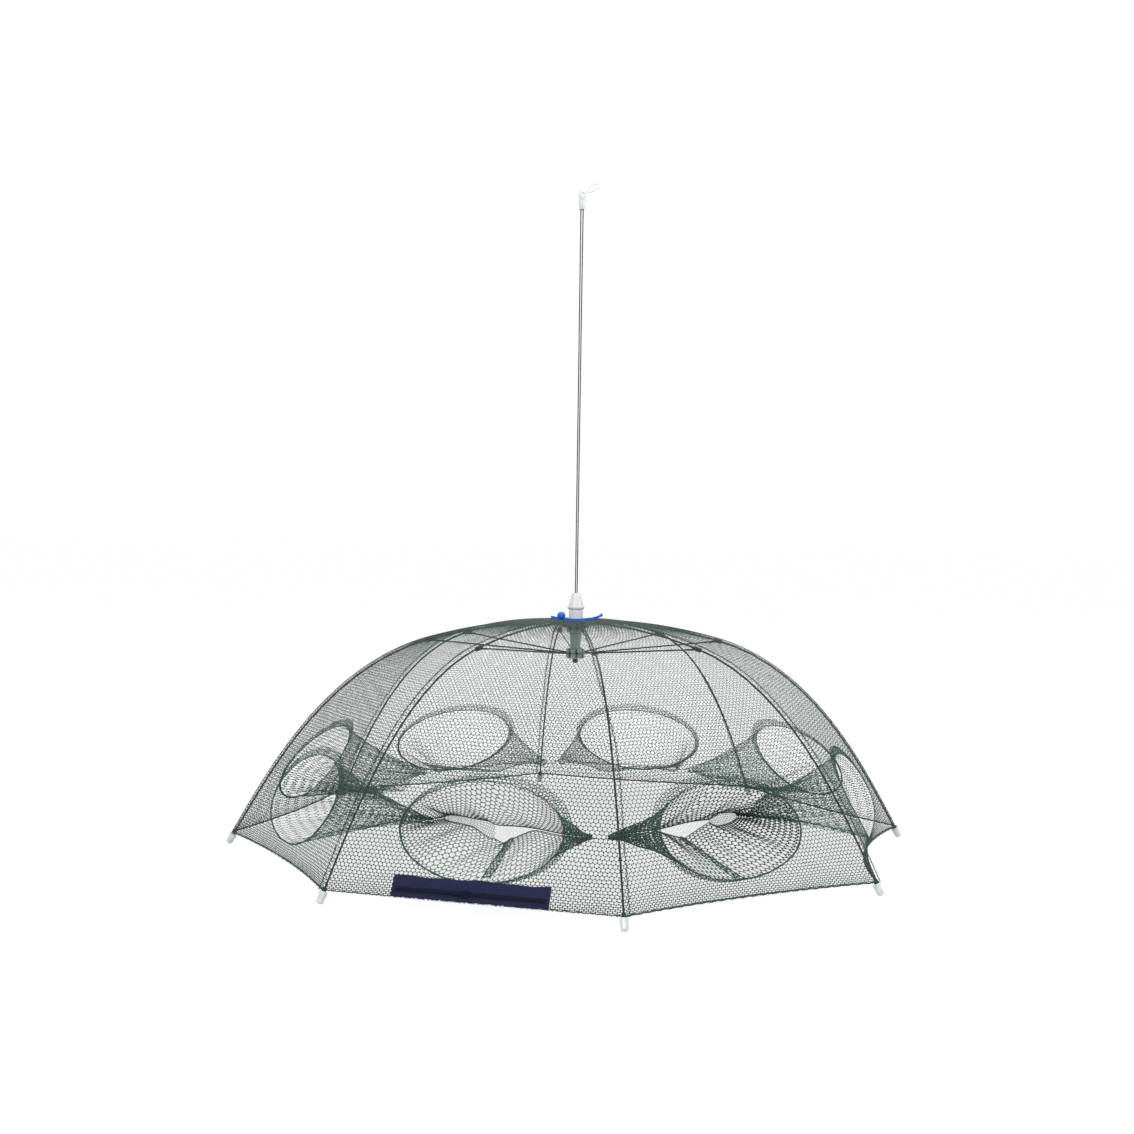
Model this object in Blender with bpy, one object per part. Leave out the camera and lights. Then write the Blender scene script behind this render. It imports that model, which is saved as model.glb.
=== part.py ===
"""Umbrella style baitfish trap.

Eight sprung ribs hinge on a crown hub and are spread by eight stretchers, which hinge on a runner.
A doubled pull cord lifts the runner into the crown and opens the trap. Netting covers the ribs and the
floor, and has eight funnel entrances and one zip. All sizes are in metres, +Z is up, and the trap
stands on z = 0 with its crown over the origin. The first rib points to the front, which is -Y.
"""

import math

import bmesh
import bpy
from mathutils import Matrix, Vector

# Frame
RIB_COUNT = 8
GAP = 0.0003  # clearance between two pieces that touch

# Rib rods: a cranked root in the crown, a nearly straight inner stretch, and a bent outer stretch
ROD_RADIUS = 0.0013
ROOT_LENGTH = 0.0335
INNER_LENGTH = 0.165
OUTER_LENGTH = 0.402
ROOT_SLOPE = math.radians(30)
SHOULDER_SLOPE = math.radians(-2)
BRACKET_SLOPE = math.radians(-15.5)
TIP_SLOPE = math.radians(-61)
ROOT_RINGS = 3
INNER_RINGS = 3
OUTER_RINGS = 14
ROD_SIDES = 8

# Hinges at the crown and the runner: flat eyes on a ring of wire
PIVOT_RADIUS = 0.0105
WIRE_RADIUS = 0.0006
EYE_RADIUS = 0.0023
EYE_THICKNESS = 0.0016
SLOT_HALF_WIDTH = max(ROD_RADIUS, EYE_THICKNESS / 2) + GAP
WIRE_RING_STEPS = 24
WIRE_RING_SIDES = 6

# Caps on the rib tips, which are the trap's feet
CAP_LENGTH = 0.0145
CAP_RADIUS = 0.0043
CAP_MOUTH_RADIUS = 0.0051
CAP_LIP = 0.002
CAP_OVERHANG = 0.0040
CAP_FILLET = 0.0025
CAP_SIDES = 12
FOOT_FLAT_DEPTH = 0.0007

# Bracket on each rib, with a stub on either side for the stretcher's fork
BRACKET_LENGTH = 0.011
BRACKET_WIDTH = 0.0052
BRACKET_ABOVE = 0.0023
BRACKET_BELOW = 0.0034
PIN_DROP = 0.001
STUB_RADIUS = 0.0009
STUB_HEAD_RADIUS = 0.0015
STUB_HEAD_THICKNESS = 0.0006

# Stretchers
STRETCHER_RADIUS = 0.0011
FORK_THICKNESS = 0.001
FORK_LENGTH = 0.0095
FORK_WEB = 0.003
FORK_HEIGHT = 0.0026
FORK_EYE_RADIUS = 0.0021

# Crown hub, and the cap screwed into it
HUB_RADIUS = 0.0130
HUB_ABOVE = 0.008
HUB_BELOW = 0.0065
HUB_CHAMFER = 0.001
HUB_TOP_PLATE = 0.0015
SLOT_FLOOR_RADIUS = 0.0078
WIRE_GROOVE_HALF = 0.0010
HUB_SIDES = 24
SOCKET_DEPTH = 0.006
SPIGOT_RADIUS = 0.0062
SHANK_RADIUS = 0.0100
FLANGE_RADIUS = 0.0123
FLANGE_THICKNESS = 0.0045
SHANK_HEIGHT = 0.0172
CONE_HEIGHT = 0.0180
CONE_BASE_RADIUS = 0.0108
CONE_TOP_RADIUS = 0.0060
CORD_BORE_RADIUS = 0.0025
TURNED_SIDES = 24

# Runner, whose collar stops under the crown and whose neck slides up into it
RUNNER_ABOVE = 0.0065
RUNNER_BELOW = 0.0070
COLLAR_BASE_RADIUS = 0.0068
COLLAR_TOP_RADIUS = 0.0084
NECK_RADIUS = 0.0042
NECK_PLAY = 0.0004
NECK_TOP_ABOVE_CROWN = 0.016

# Tie strap under the cap
STRAP_THICKNESS = 0.0040
STRAP_RING_WIDTH = 0.0045
STRAP_ARM_WIDTH = 0.0060
STRAP_BALL_RADIUS = 0.0060
STRAP_BALL_X = -0.0208
STRAP_LEFT_X = -0.0355
STRAP_RIGHT_X = 0.0380
STRAP_RISE = 0.0060
STRAP_TAB_HEIGHT = 0.0035
STRAP_ARM_THICKNESS = STRAP_THICKNESS * 0.75
STRAP_ARM_LIFT = STRAP_THICKNESS * 0.28  # from the netting to the underside of the arms

# Pull cord, doubled, with its ferrule and hanging clip
STRAND_RADIUS = 0.0008
STRAND_SPREAD = 0.00125
STRAND_SPREAD_TOP = 0.0016
STRAND_TOP_Z = 0.8985
STRAND_POINTS = 30
KNOT_RADIUS = 0.0042
FERRULE_BOTTOM_Z = 0.8900
FERRULE_HEIGHT = 0.0155
FERRULE_BOTTOM_RADIUS = 0.0042
FERRULE_TOP_RADIUS = 0.0049
CLIP_STUB_LENGTH = 0.004
CLIP_HEAD_RADIUS = 0.0056
CLIP_HEAD_THICKNESS = 0.0052
CLIP_HOLE_RADIUS = 0.0027
CLIP_BAR_WIDTH = 0.0012
CLIP_TILT = math.radians(31)
LOOP_HALF_LENGTH = 0.0092
LOOP_HALF_WIDTH = 0.0040
LOOP_RADIUS = 0.0010
LOOP_NECK = 0.0030

# Netting: plain skins of its true outer shape, with a coarse grid of openings in the canopy
NET_THICKNESS = 0.0010
NET_OVER_ROD = BRACKET_ABOVE + 0.0010  # from a rod's centre line to the underside of the netting
HEM_ABOVE_CAP = 0.0006
NET_STRIP_WIDTH = 0.0036  # width of the netting left between two openings
HEM_SCALLOP = 0.014
GORE_COLUMNS = 3
GORE_SIDE_ROWS = 5
GORE_CROWN_ROWS = 2
GORE_INNER_ROWS = 3
GORE_BEND_ROWS = 4
FRAME_ABOVE_RING = 0.030
RING_HALF_WIDTH = 0.099
RING_HALF_HEIGHT = 0.062
RING_ABOVE_HEM = 0.024
FUNNEL_THICKNESS = 0.0008
FUNNEL_ROWS = 2
THROAT_RADIUS = 0.260  # from the axis to the flat throat
THROAT_Z = 0.067
THROAT_HALF_WIDTH = 0.095
THROAT_HALF_HEIGHT = 0.006
THROAT_CORD_RADIUS = 0.0006
FLOOR_SAG = 0.004
FLOOR_RINGS = 2

# Zip on the gore between the last rib and the first
ZIP_LENGTH = 0.190
ZIP_WIDTH = 0.025
ZIP_TAPE_THICKNESS = 0.0009
ZIP_ABOVE_HEM = 0.0005
ZIP_CHAIN_WIDTH = 0.0048
ZIP_CHAIN_DROP = 0.0040  # from the middle of the tape down to the chain, towards the hem
ZIP_CHAIN_HEIGHT = 0.0016
ZIP_STOP_LENGTH = 0.003
SLIDER_LENGTH = 0.009
SLIDER_WIDTH = 0.0084
SLIDER_WALL = 0.0010
SLIDER_AT = -0.0055  # from the middle of the tape
BRIDGE_LENGTH = 0.0050
BRIDGE_HEIGHT = 0.0026
BRIDGE_BAR = 0.0012
PULL_LENGTH = 0.014
PULL_WIDTH = 0.0052
PULL_THICKNESS = 0.0008
PULL_ARM = 0.0006

BLACK_ROD = ("black rod", (0.012, 0.013, 0.013), 0.40, 0.0)
BLACK_PLASTIC = ("black moulding", (0.018, 0.020, 0.019), 0.55, 0.0)
SMOKY_PLASTIC = ("smoky moulding", (0.34, 0.42, 0.39), 0.45, 0.0)
WHITE_PLASTIC = ("white moulding", (0.86, 0.86, 0.86), 0.38, 0.0)
CLEAR_WHITE = ("milky cap", (0.80, 0.82, 0.83), 0.32, 0.0)
STEEL_WIRE = ("steel wire", (0.55, 0.55, 0.54), 0.30, 1.0)
BLUE_RUBBER = ("blue rubber", (0.03, 0.16, 0.62), 0.50, 0.0)
GREEN_NET = ("green netting", (0.035, 0.105, 0.075), 0.75, 0.0)
GREEN_CORD = ("green cord", (0.020, 0.045, 0.032), 0.80, 0.0)
NAVY_TAPE = ("navy tape", (0.018, 0.020, 0.075), 0.85, 0.0)
NAVY_METAL = ("navy slider", (0.020, 0.024, 0.085), 0.35, 0.6)


def clear_scene():
    for old in list(bpy.data.objects):
        bpy.data.objects.remove(old, do_unlink=True)


def material(spec):
    name, colour, roughness, metallic = spec
    found = bpy.data.materials.get(name)
    if found:
        return found
    made = bpy.data.materials.new(name)
    made.use_nodes = True
    shader = made.node_tree.nodes["Principled BSDF"]
    shader.inputs["Base Color"].default_value = (*colour, 1.0)
    shader.inputs["Roughness"].default_value = roughness
    shader.inputs["Metallic"].default_value = metallic
    return made


def place(name, mesh, spec, matrix=None):
    """Put a mesh in the scene as a sub-part, smooth except at its sharp edges."""
    mesh.shade_smooth()
    mesh.set_sharp_from_angle(angle=math.radians(35))
    made = bpy.data.objects.new(name, mesh)
    if not mesh.materials:
        mesh.materials.append(material(spec))
    made.matrix_world = matrix or Matrix.Identity(4)
    bpy.context.collection.objects.link(made)
    return made


def mesh_of(bm, name):
    bmesh.ops.recalc_face_normals(bm, faces=bm.faces)
    mesh = bpy.data.meshes.new(name)
    bm.to_mesh(mesh)
    bm.free()
    return mesh


def turned(profile, sides, closed=True):
    """A body turned about Z from (radius, height) points. An open profile starts and ends on the axis."""
    bm = bmesh.new()
    points = [bm.verts.new((radius, 0.0, height)) for radius, height in profile]
    pairs = list(zip(points, points[1:]))
    if closed:
        pairs.append((points[-1], points[0]))
    edges = [bm.edges.new(pair) for pair in pairs]
    bmesh.ops.spin(
        bm, geom=points + edges, cent=(0, 0, 0), axis=(0, 0, 1), angle=math.tau, steps=sides
    )
    bmesh.ops.remove_doubles(bm, verts=bm.verts, dist=1e-6)
    return mesh_of(bm, "turned")


def cylinder(radius, length, sides, matrix=None, turn=0.0):
    """A closed cylinder along Z, centred on its own middle, then carried by the matrix."""
    bm = bmesh.new()
    bmesh.ops.create_cone(
        bm, cap_ends=True, segments=sides, radius1=radius, radius2=radius, depth=length,
        matrix=(matrix or Matrix.Identity(4)) @ Matrix.Rotation(turn, 4, "Z"),
    )
    return mesh_of(bm, "cylinder")


def block(low, high):
    """A closed box between two corners."""
    bm = bmesh.new()
    size = Vector(high) - Vector(low)
    middle = (Vector(high) + Vector(low)) / 2
    matrix = Matrix.Translation(middle) @ Matrix.Diagonal((*size, 1.0))
    bmesh.ops.create_cube(bm, size=1.0, matrix=matrix)
    return mesh_of(bm, "block")


def prism(outline, depth, axis="Y"):
    """An outline in the plane across an axis, extruded to both sides of that plane."""
    half = depth / 2
    lift = {
        "Y": lambda a, b, d: (a, d, b),
        "X": lambda a, b, d: (d, a, b),
        "Z": lambda a, b, d: (a, b, d),
    }[axis]
    bm = bmesh.new()
    near = [bm.verts.new(lift(a, b, -half)) for a, b in outline]
    face = bm.faces.new(near)
    grown = bmesh.ops.extrude_face_region(bm, geom=[face])["geom"]
    shift = Vector(lift(0.0, 0.0, depth))
    bmesh.ops.translate(bm, vec=shift, verts=[g for g in grown if isinstance(g, bmesh.types.BMVert)])
    return mesh_of(bm, "prism")


def carried(mesh, matrix):
    """A copy of a mesh, moved by a matrix."""
    moved = mesh.copy()
    moved.transform(matrix)
    return moved


def combined(base, steps):
    """The mesh left by joining or cutting a base with a list of (operation, mesh) steps."""
    body = bpy.data.objects.new("body in work", base)
    bpy.context.collection.objects.link(body)
    tools = []
    for operation, mesh in steps:
        tool = bpy.data.objects.new("tool in work", mesh)
        bpy.context.collection.objects.link(tool)
        tools.append(tool)
        change = body.modifiers.new(operation, "BOOLEAN")
        change.operation = operation
        change.object = tool
        change.solver = "EXACT"
    bpy.context.view_layer.update()
    graph = bpy.context.evaluated_depsgraph_get()
    result = bpy.data.meshes.new_from_object(body.evaluated_get(graph))
    for used in [body, *tools]:
        bpy.data.objects.remove(used, do_unlink=True)
    return result


def solidified(mesh, thickness, offset, even=True):
    """A closed skin of the given thickness, grown from an open sheet."""
    body = bpy.data.objects.new("sheet in work", mesh)
    bpy.context.collection.objects.link(body)
    grow = body.modifiers.new("thickness", "SOLIDIFY")
    grow.thickness = thickness
    grow.offset = offset
    grow.use_even_offset = even
    bpy.context.view_layer.update()
    graph = bpy.context.evaluated_depsgraph_get()
    result = bpy.data.meshes.new_from_object(body.evaluated_get(graph))
    bpy.data.objects.remove(body, do_unlink=True)
    return result


def swept_tube(points, radius, sides, closed=False):
    """A round tube through points, with capped ends unless it closes on itself."""
    bm = bmesh.new()
    count = len(points)
    rings = []
    for i, point in enumerate(points):
        before = points[(i - 1) % count] if closed or i else point
        after = points[(i + 1) % count] if closed or i < count - 1 else point
        along = (after - before).normalized()
        side = along.cross(Vector((0, 0, 1)))
        side = side.normalized() if side.length > 1e-6 else Vector((0, 1, 0))
        rise = side.cross(along)
        ring = []
        for k in range(sides):
            turn = math.tau * (k + 0.5) / sides
            ring.append(bm.verts.new(point + radius * (math.cos(turn) * side + math.sin(turn) * rise)))
        rings.append(ring)
    spans = list(zip(rings, rings[1:]))
    if closed:
        spans.append((rings[-1], rings[0]))
    for lower, upper in spans:
        for k in range(sides):
            n = (k + 1) % sides
            bm.faces.new((lower[k], lower[n], upper[n], upper[k]))
    if not closed:
        bm.faces.new(rings[0])
        bm.faces.new(rings[-1])
    return mesh_of(bm, "tube")


def mix(a, b, share):
    return a + (b - a) * share


def rod_slope(distance):
    """Slope of a rib rod at a distance along it from its hinge. The outer bend dies away to the tip."""
    if distance < ROOT_LENGTH:
        return mix(ROOT_SLOPE, SHOULDER_SLOPE, distance / ROOT_LENGTH)
    distance -= ROOT_LENGTH
    if distance < INNER_LENGTH:
        return mix(SHOULDER_SLOPE, BRACKET_SLOPE, distance / INNER_LENGTH)
    share = (distance - INNER_LENGTH) / OUTER_LENGTH
    return mix(BRACKET_SLOPE, TIP_SLOPE, 2 * share - share * share)


def rod_table(steps_per_metre=2000):
    """Points (distance, out, up) along a rib rod from its hinge, by adding up its slope."""
    total = ROOT_LENGTH + INNER_LENGTH + OUTER_LENGTH
    steps = int(total * steps_per_metre)
    step = total / steps
    table = [(0.0, 0.0, 0.0)]
    for i in range(steps):
        _, out, up = table[-1]
        slope = rod_slope((i + 0.5) * step)
        table.append(((i + 1) * step, out + step * math.cos(slope), up + step * math.sin(slope)))
    return table


ROD_LENGTH = ROOT_LENGTH + INNER_LENGTH + OUTER_LENGTH
BRACKET_AT = ROOT_LENGTH + INNER_LENGTH
ROD_TABLE = rod_table()


def rod_point(distance):
    """(out, up) from the hinge to the rod's centre line at a distance along it."""
    place_in_table = min(max(distance / ROD_LENGTH, 0.0), 1.0) * (len(ROD_TABLE) - 1)
    i = min(int(place_in_table), len(ROD_TABLE) - 2)
    share = place_in_table - i
    return (
        mix(ROD_TABLE[i][1], ROD_TABLE[i + 1][1], share),
        mix(ROD_TABLE[i][2], ROD_TABLE[i + 1][2], share),
    )


# Places that follow from the rib. The cap's rounded end, cut flat, sets how high the crown stands.
TIP_OUT, TIP_UP = rod_point(ROD_LENGTH)
CAP_END_RADIUS = CAP_RADIUS - CAP_FILLET
CAP_DEPTH_BELOW_TIP = (
    (CAP_OVERHANG - CAP_FILLET) * math.sin(-TIP_SLOPE)
    + CAP_END_RADIUS * math.cos(TIP_SLOPE)
    + CAP_FILLET
    - FOOT_FLAT_DEPTH
)
CROWN_Z = CAP_DEPTH_BELOW_TIP - TIP_UP
PIN_OUT = rod_point(BRACKET_AT)[0] + PIN_DROP * math.sin(BRACKET_SLOPE)
PIN_UP = rod_point(BRACKET_AT)[1] - PIN_DROP * math.cos(BRACKET_SLOPE)
STRETCHER_LENGTH = math.hypot(PIN_OUT, PIN_UP)
STRETCHER_SLOPE = math.atan2(-PIN_UP, PIN_OUT)
RUNNER_Z = CROWN_Z + 2 * PIN_UP
HUB_TOP_Z = CROWN_Z + HUB_ABOVE
NET_CROWN_Z = HUB_TOP_Z + GAP
SHANK_BOTTOM_Z = NET_CROWN_Z + NET_THICKNESS + GAP
FLANGE_Z = SHANK_BOTTOM_Z + SHANK_HEIGHT
CONE_Z = FLANGE_Z + FLANGE_THICKNESS
CONE_TOP_Z = CONE_Z + CONE_HEIGHT
RUNNER_BOTTOM_Z = RUNNER_Z - RUNNER_BELOW
HEM_AT = ROD_LENGTH - (CAP_LENGTH - CAP_OVERHANG) - HEM_ABOVE_CAP
RING_AT = HEM_AT - RING_ABOVE_HEM - RING_HALF_HEIGHT
FRAME_AT = RING_AT - RING_HALF_HEIGHT - FRAME_ABOVE_RING
RIB_STEP = math.tau / RIB_COUNT


def facing(number):
    """Turn that carries +X to where rib or gore number points. The first rib, 0, faces -Y."""
    return Matrix.Rotation(-math.pi / 2 + number * RIB_STEP, 4, "Z")


def to_x_axis():
    """Turn that lays a shape along Z onto X."""
    return Matrix.Rotation(math.pi / 2, 4, "Y")


def to_y_axis():
    """Turn that lays a shape along Z onto Y."""
    return Matrix.Rotation(-math.pi / 2, 4, "X")


def slope_frame(out, up, slope):
    """Frame at a point of the rib's plane, with its X along the slope and its Y across the rib."""
    return Matrix.Translation((out, 0, up)) @ Matrix.Rotation(-slope, 4, "Y")


def hinge_eye(matrix):
    """A flat round eye across Y, and the hole that cuts it."""
    disc = cylinder(EYE_RADIUS, EYE_THICKNESS, 16, matrix @ to_y_axis())
    hole = cylinder(WIRE_RADIUS + GAP * 1.2, EYE_THICKNESS * 2, 10, matrix @ to_y_axis())
    return disc, hole


def rib_mesh():
    """A rod from its hinge eye to its tip, in the rib's own plane, with the hinge at the origin."""
    starts = [EYE_RADIUS * 0.6 + (ROOT_LENGTH - EYE_RADIUS * 0.6) * i / ROOT_RINGS for i in range(ROOT_RINGS)]
    inner = [ROOT_LENGTH + INNER_LENGTH * i / INNER_RINGS for i in range(INNER_RINGS)]
    outer = [BRACKET_AT + OUTER_LENGTH * i / OUTER_RINGS for i in range(OUTER_RINGS + 1)]
    points = []
    for distance in starts + inner + outer:
        out, up = rod_point(distance)
        points.append(Vector((out, 0, up)))
    rod = swept_tube(points, ROD_RADIUS, ROD_SIDES)
    disc, hole = hinge_eye(Matrix.Identity(4))
    return combined(rod, [("UNION", disc), ("DIFFERENCE", hole)])


def tip_cap_mesh():
    """A sleeve with a rounded end on the rod's tip, cut flat where it stands on the ground."""
    bore = ROD_RADIUS + GAP
    mouth = CAP_OVERHANG - CAP_LENGTH
    fillet_steps = 3
    profile = [(bore, mouth), (CAP_MOUTH_RADIUS, mouth), (CAP_MOUTH_RADIUS, mouth + CAP_LIP)]
    for i in range(fillet_steps + 1):
        turn = math.pi / 2 * i / fillet_steps
        profile.append(
            (
                CAP_END_RADIUS + CAP_FILLET * math.cos(turn),
                CAP_OVERHANG - CAP_FILLET + CAP_FILLET * math.sin(turn),
            )
        )
    profile += [(0.0, CAP_OVERHANG), (0.0, GAP), (bore, GAP)]
    cap = turned(profile, CAP_SIDES)
    cap.transform(slope_frame(TIP_OUT, TIP_UP, TIP_SLOPE) @ to_x_axis())
    ground = -CROWN_Z
    reach = CAP_LENGTH * 2
    below = block((TIP_OUT - reach, -reach, ground - reach), (TIP_OUT + reach, reach, ground))
    return combined(cap, [("DIFFERENCE", below)])


def bracket_mesh():
    """A block moulded round the rod, with a headed stub on each side for the stretcher's fork."""
    half = BRACKET_LENGTH / 2
    corner = BRACKET_WIDTH / 4
    side = BRACKET_WIDTH / 2
    outline = [
        (-side, -BRACKET_BELOW + corner), (-side + corner, -BRACKET_BELOW),
        (side - corner, -BRACKET_BELOW), (side, -BRACKET_BELOW + corner),
        (side, BRACKET_ABOVE - corner), (side - corner, BRACKET_ABOVE),
        (-side + corner, BRACKET_ABOVE), (-side, BRACKET_ABOVE - corner),
    ]
    body = prism(outline, BRACKET_LENGTH, axis="X")
    bore = cylinder(ROD_RADIUS + GAP, BRACKET_LENGTH * 2, 12, to_x_axis())
    steps = [("DIFFERENCE", bore)]
    inner = ROD_RADIUS + 2 * GAP
    neck_end = side + GAP + FORK_THICKNESS + GAP
    for way in (-1, 1):
        neck_length = neck_end - inner
        middle = Matrix.Translation((0, way * (inner + neck_length / 2), -PIN_DROP)) @ to_y_axis()
        head = Matrix.Translation((0, way * (neck_end + STUB_HEAD_THICKNESS / 2), -PIN_DROP)) @ to_y_axis()
        steps.append(("UNION", cylinder(STUB_RADIUS, neck_length, 10, middle)))
        steps.append(("UNION", cylinder(STUB_HEAD_RADIUS, STUB_HEAD_THICKNESS, 10, head)))
    made = combined(body, steps)
    out, up = rod_point(BRACKET_AT)
    made.transform(slope_frame(out, up, BRACKET_SLOPE))
    assert half > STUB_HEAD_RADIUS
    return made


def stretcher_mesh():
    """A rod along -X from its fork at the origin to its inner eye."""
    side = BRACKET_WIDTH / 2 + GAP + FORK_THICKNESS
    half_height = FORK_HEIGHT / 2
    arc_steps = 6
    outline = [(-FORK_LENGTH - FORK_WEB, -half_height)]
    start = math.asin(half_height / FORK_EYE_RADIUS)
    for i in range(arc_steps + 1):
        turn = mix(start - math.pi, math.pi - start, i / arc_steps)
        outline.append((FORK_EYE_RADIUS * math.cos(turn), FORK_EYE_RADIUS * math.sin(turn)))
    outline.append((-FORK_LENGTH - FORK_WEB, half_height))
    fork = prism(outline, side * 2)
    inside = BRACKET_WIDTH / 2 + GAP
    throat = block((-FORK_LENGTH, -inside, -FORK_HEIGHT * 2), (FORK_HEIGHT * 2, inside, FORK_HEIGHT * 2))
    pin_hole = cylinder(STUB_RADIUS + GAP, side * 4, 12, to_y_axis())
    rod_start = FORK_LENGTH + FORK_WEB / 2
    rod_end = STRETCHER_LENGTH - EYE_RADIUS * 0.6
    rod_middle = Matrix.Translation((-(rod_start + rod_end) / 2, 0, 0)) @ to_x_axis()
    rod = cylinder(STRETCHER_RADIUS, rod_end - rod_start, ROD_SIDES, rod_middle, turn=math.pi / ROD_SIDES)
    disc, hole = hinge_eye(Matrix.Translation((-STRETCHER_LENGTH, 0, 0)))
    steps = [("DIFFERENCE", throat), ("DIFFERENCE", pin_hole)]
    steps += [("UNION", rod), ("UNION", disc), ("DIFFERENCE", hole)]
    return combined(fork, steps)


def wire_ring_mesh():
    """The ring of wire that threads the eyes, turned about Z."""
    profile = [
        (
            PIVOT_RADIUS + WIRE_RADIUS * math.cos(math.tau * i / WIRE_RING_SIDES),
            WIRE_RADIUS * math.sin(math.tau * i / WIRE_RING_SIDES),
        )
        for i in range(WIRE_RING_SIDES)
    ]
    return turned(profile, WIRE_RING_STEPS)


def slot_cutters(low, high):
    """Radial slots for the eyes, one for each rib, open outwards between two heights."""
    half = SLOT_HALF_WIDTH
    cutters = []
    for number in range(RIB_COUNT):
        cutter = block((SLOT_FLOOR_RADIUS, -half, low), (HUB_RADIUS * 2, half, high))
        cutter.transform(facing(number))
        cutters.append(("DIFFERENCE", cutter))
    return cutters


def crown_hub_mesh():
    """Notched hub: a bore for the runner's neck, a socket for the cap, slots for the rib roots."""
    bore = NECK_RADIUS + NECK_PLAY
    socket = SPIGOT_RADIUS + GAP
    groove = PIVOT_RADIUS - WIRE_RADIUS - GAP
    profile = [
        (bore, -HUB_BELOW),
        (HUB_RADIUS - HUB_CHAMFER, -HUB_BELOW),
        (HUB_RADIUS, -HUB_BELOW + HUB_CHAMFER),
        (HUB_RADIUS, -WIRE_GROOVE_HALF),
        (groove, -WIRE_GROOVE_HALF),
        (groove, WIRE_GROOVE_HALF),
        (HUB_RADIUS, WIRE_GROOVE_HALF),
        (HUB_RADIUS, HUB_ABOVE - HUB_CHAMFER),
        (HUB_RADIUS - HUB_CHAMFER, HUB_ABOVE),
        (socket, HUB_ABOVE),
        (socket, HUB_ABOVE - SOCKET_DEPTH),
        (bore, HUB_ABOVE - SOCKET_DEPTH),
    ]
    body = turned(profile, HUB_SIDES)
    made = combined(body, slot_cutters(-HUB_BELOW * 2, HUB_ABOVE - HUB_TOP_PLATE))
    made.transform(Matrix.Translation((0, 0, CROWN_Z)))
    return made


def cap_mesh():
    """White screw cap over the crown: spigot, shank, flange and a nozzle that guides the cord."""
    bore = NECK_RADIUS + NECK_PLAY
    spigot_end = HUB_TOP_Z - SOCKET_DEPTH + GAP
    neck_room = CROWN_Z + NECK_TOP_ABOVE_CROWN + 2 * GAP
    rim = FLANGE_THICKNESS / 4
    lip = 0.0008
    profile = [
        (bore, spigot_end),
        (SPIGOT_RADIUS, spigot_end),
        (SPIGOT_RADIUS, SHANK_BOTTOM_Z),
        (SHANK_RADIUS, SHANK_BOTTOM_Z),
        (SHANK_RADIUS, FLANGE_Z),
        (FLANGE_RADIUS - rim, FLANGE_Z),
        (FLANGE_RADIUS, FLANGE_Z + rim),
        (FLANGE_RADIUS, CONE_Z - rim),
        (FLANGE_RADIUS - rim, CONE_Z),
        (CONE_BASE_RADIUS, CONE_Z),
        (CONE_TOP_RADIUS, CONE_TOP_Z - lip),
        (CONE_TOP_RADIUS - lip, CONE_TOP_Z),
        (CORD_BORE_RADIUS + lip, CONE_TOP_Z),
        (CORD_BORE_RADIUS, CONE_TOP_Z - lip),
        (CORD_BORE_RADIUS, neck_room + bore - CORD_BORE_RADIUS),
        (bore, neck_room),
    ]
    return turned(profile, TURNED_SIDES)


def runner_mesh():
    """The sliding hub: slots for the stretchers' eyes, a collar, and a neck that goes up into the crown."""
    groove = PIVOT_RADIUS - WIRE_RADIUS - GAP
    collar_top = CROWN_Z - HUB_BELOW - GAP - RUNNER_Z
    neck_top = CROWN_Z + NECK_TOP_ABOVE_CROWN - RUNNER_Z
    profile = [
        (CORD_BORE_RADIUS, -RUNNER_BELOW),
        (HUB_RADIUS - HUB_CHAMFER, -RUNNER_BELOW),
        (HUB_RADIUS, -RUNNER_BELOW + HUB_CHAMFER),
        (HUB_RADIUS, -WIRE_GROOVE_HALF),
        (groove, -WIRE_GROOVE_HALF),
        (groove, WIRE_GROOVE_HALF),
        (HUB_RADIUS, WIRE_GROOVE_HALF),
        (HUB_RADIUS, RUNNER_ABOVE - HUB_CHAMFER),
        (HUB_RADIUS - HUB_CHAMFER, RUNNER_ABOVE),
        (COLLAR_BASE_RADIUS, RUNNER_ABOVE + HUB_CHAMFER),
        (COLLAR_TOP_RADIUS, collar_top - HUB_CHAMFER),
        (COLLAR_TOP_RADIUS - HUB_CHAMFER, collar_top),
        (NECK_RADIUS, collar_top),
        (NECK_RADIUS, neck_top - HUB_CHAMFER),
        (NECK_RADIUS - HUB_CHAMFER, neck_top),
        (CORD_BORE_RADIUS, neck_top),
    ]
    body = turned(profile, HUB_SIDES)
    made = combined(body, slot_cutters(-RUNNER_BELOW + HUB_TOP_PLATE, RUNNER_ABOVE * 2))
    made.transform(Matrix.Translation((0, 0, RUNNER_Z)))
    return made


def ribbon(path, width, thickness):
    """A flat band that follows (x, z) points, closed at both ends. The points run along its underside."""
    outline = list(path)
    for i in range(len(path) - 1, -1, -1):
        before = path[max(i - 1, 0)]
        after = path[min(i + 1, len(path) - 1)]
        run = Vector((after[0] - before[0], after[1] - before[1])).normalized()
        outline.append((path[i][0] - run.y * thickness, path[i][1] + run.x * thickness))
    return prism(outline, width)


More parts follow.
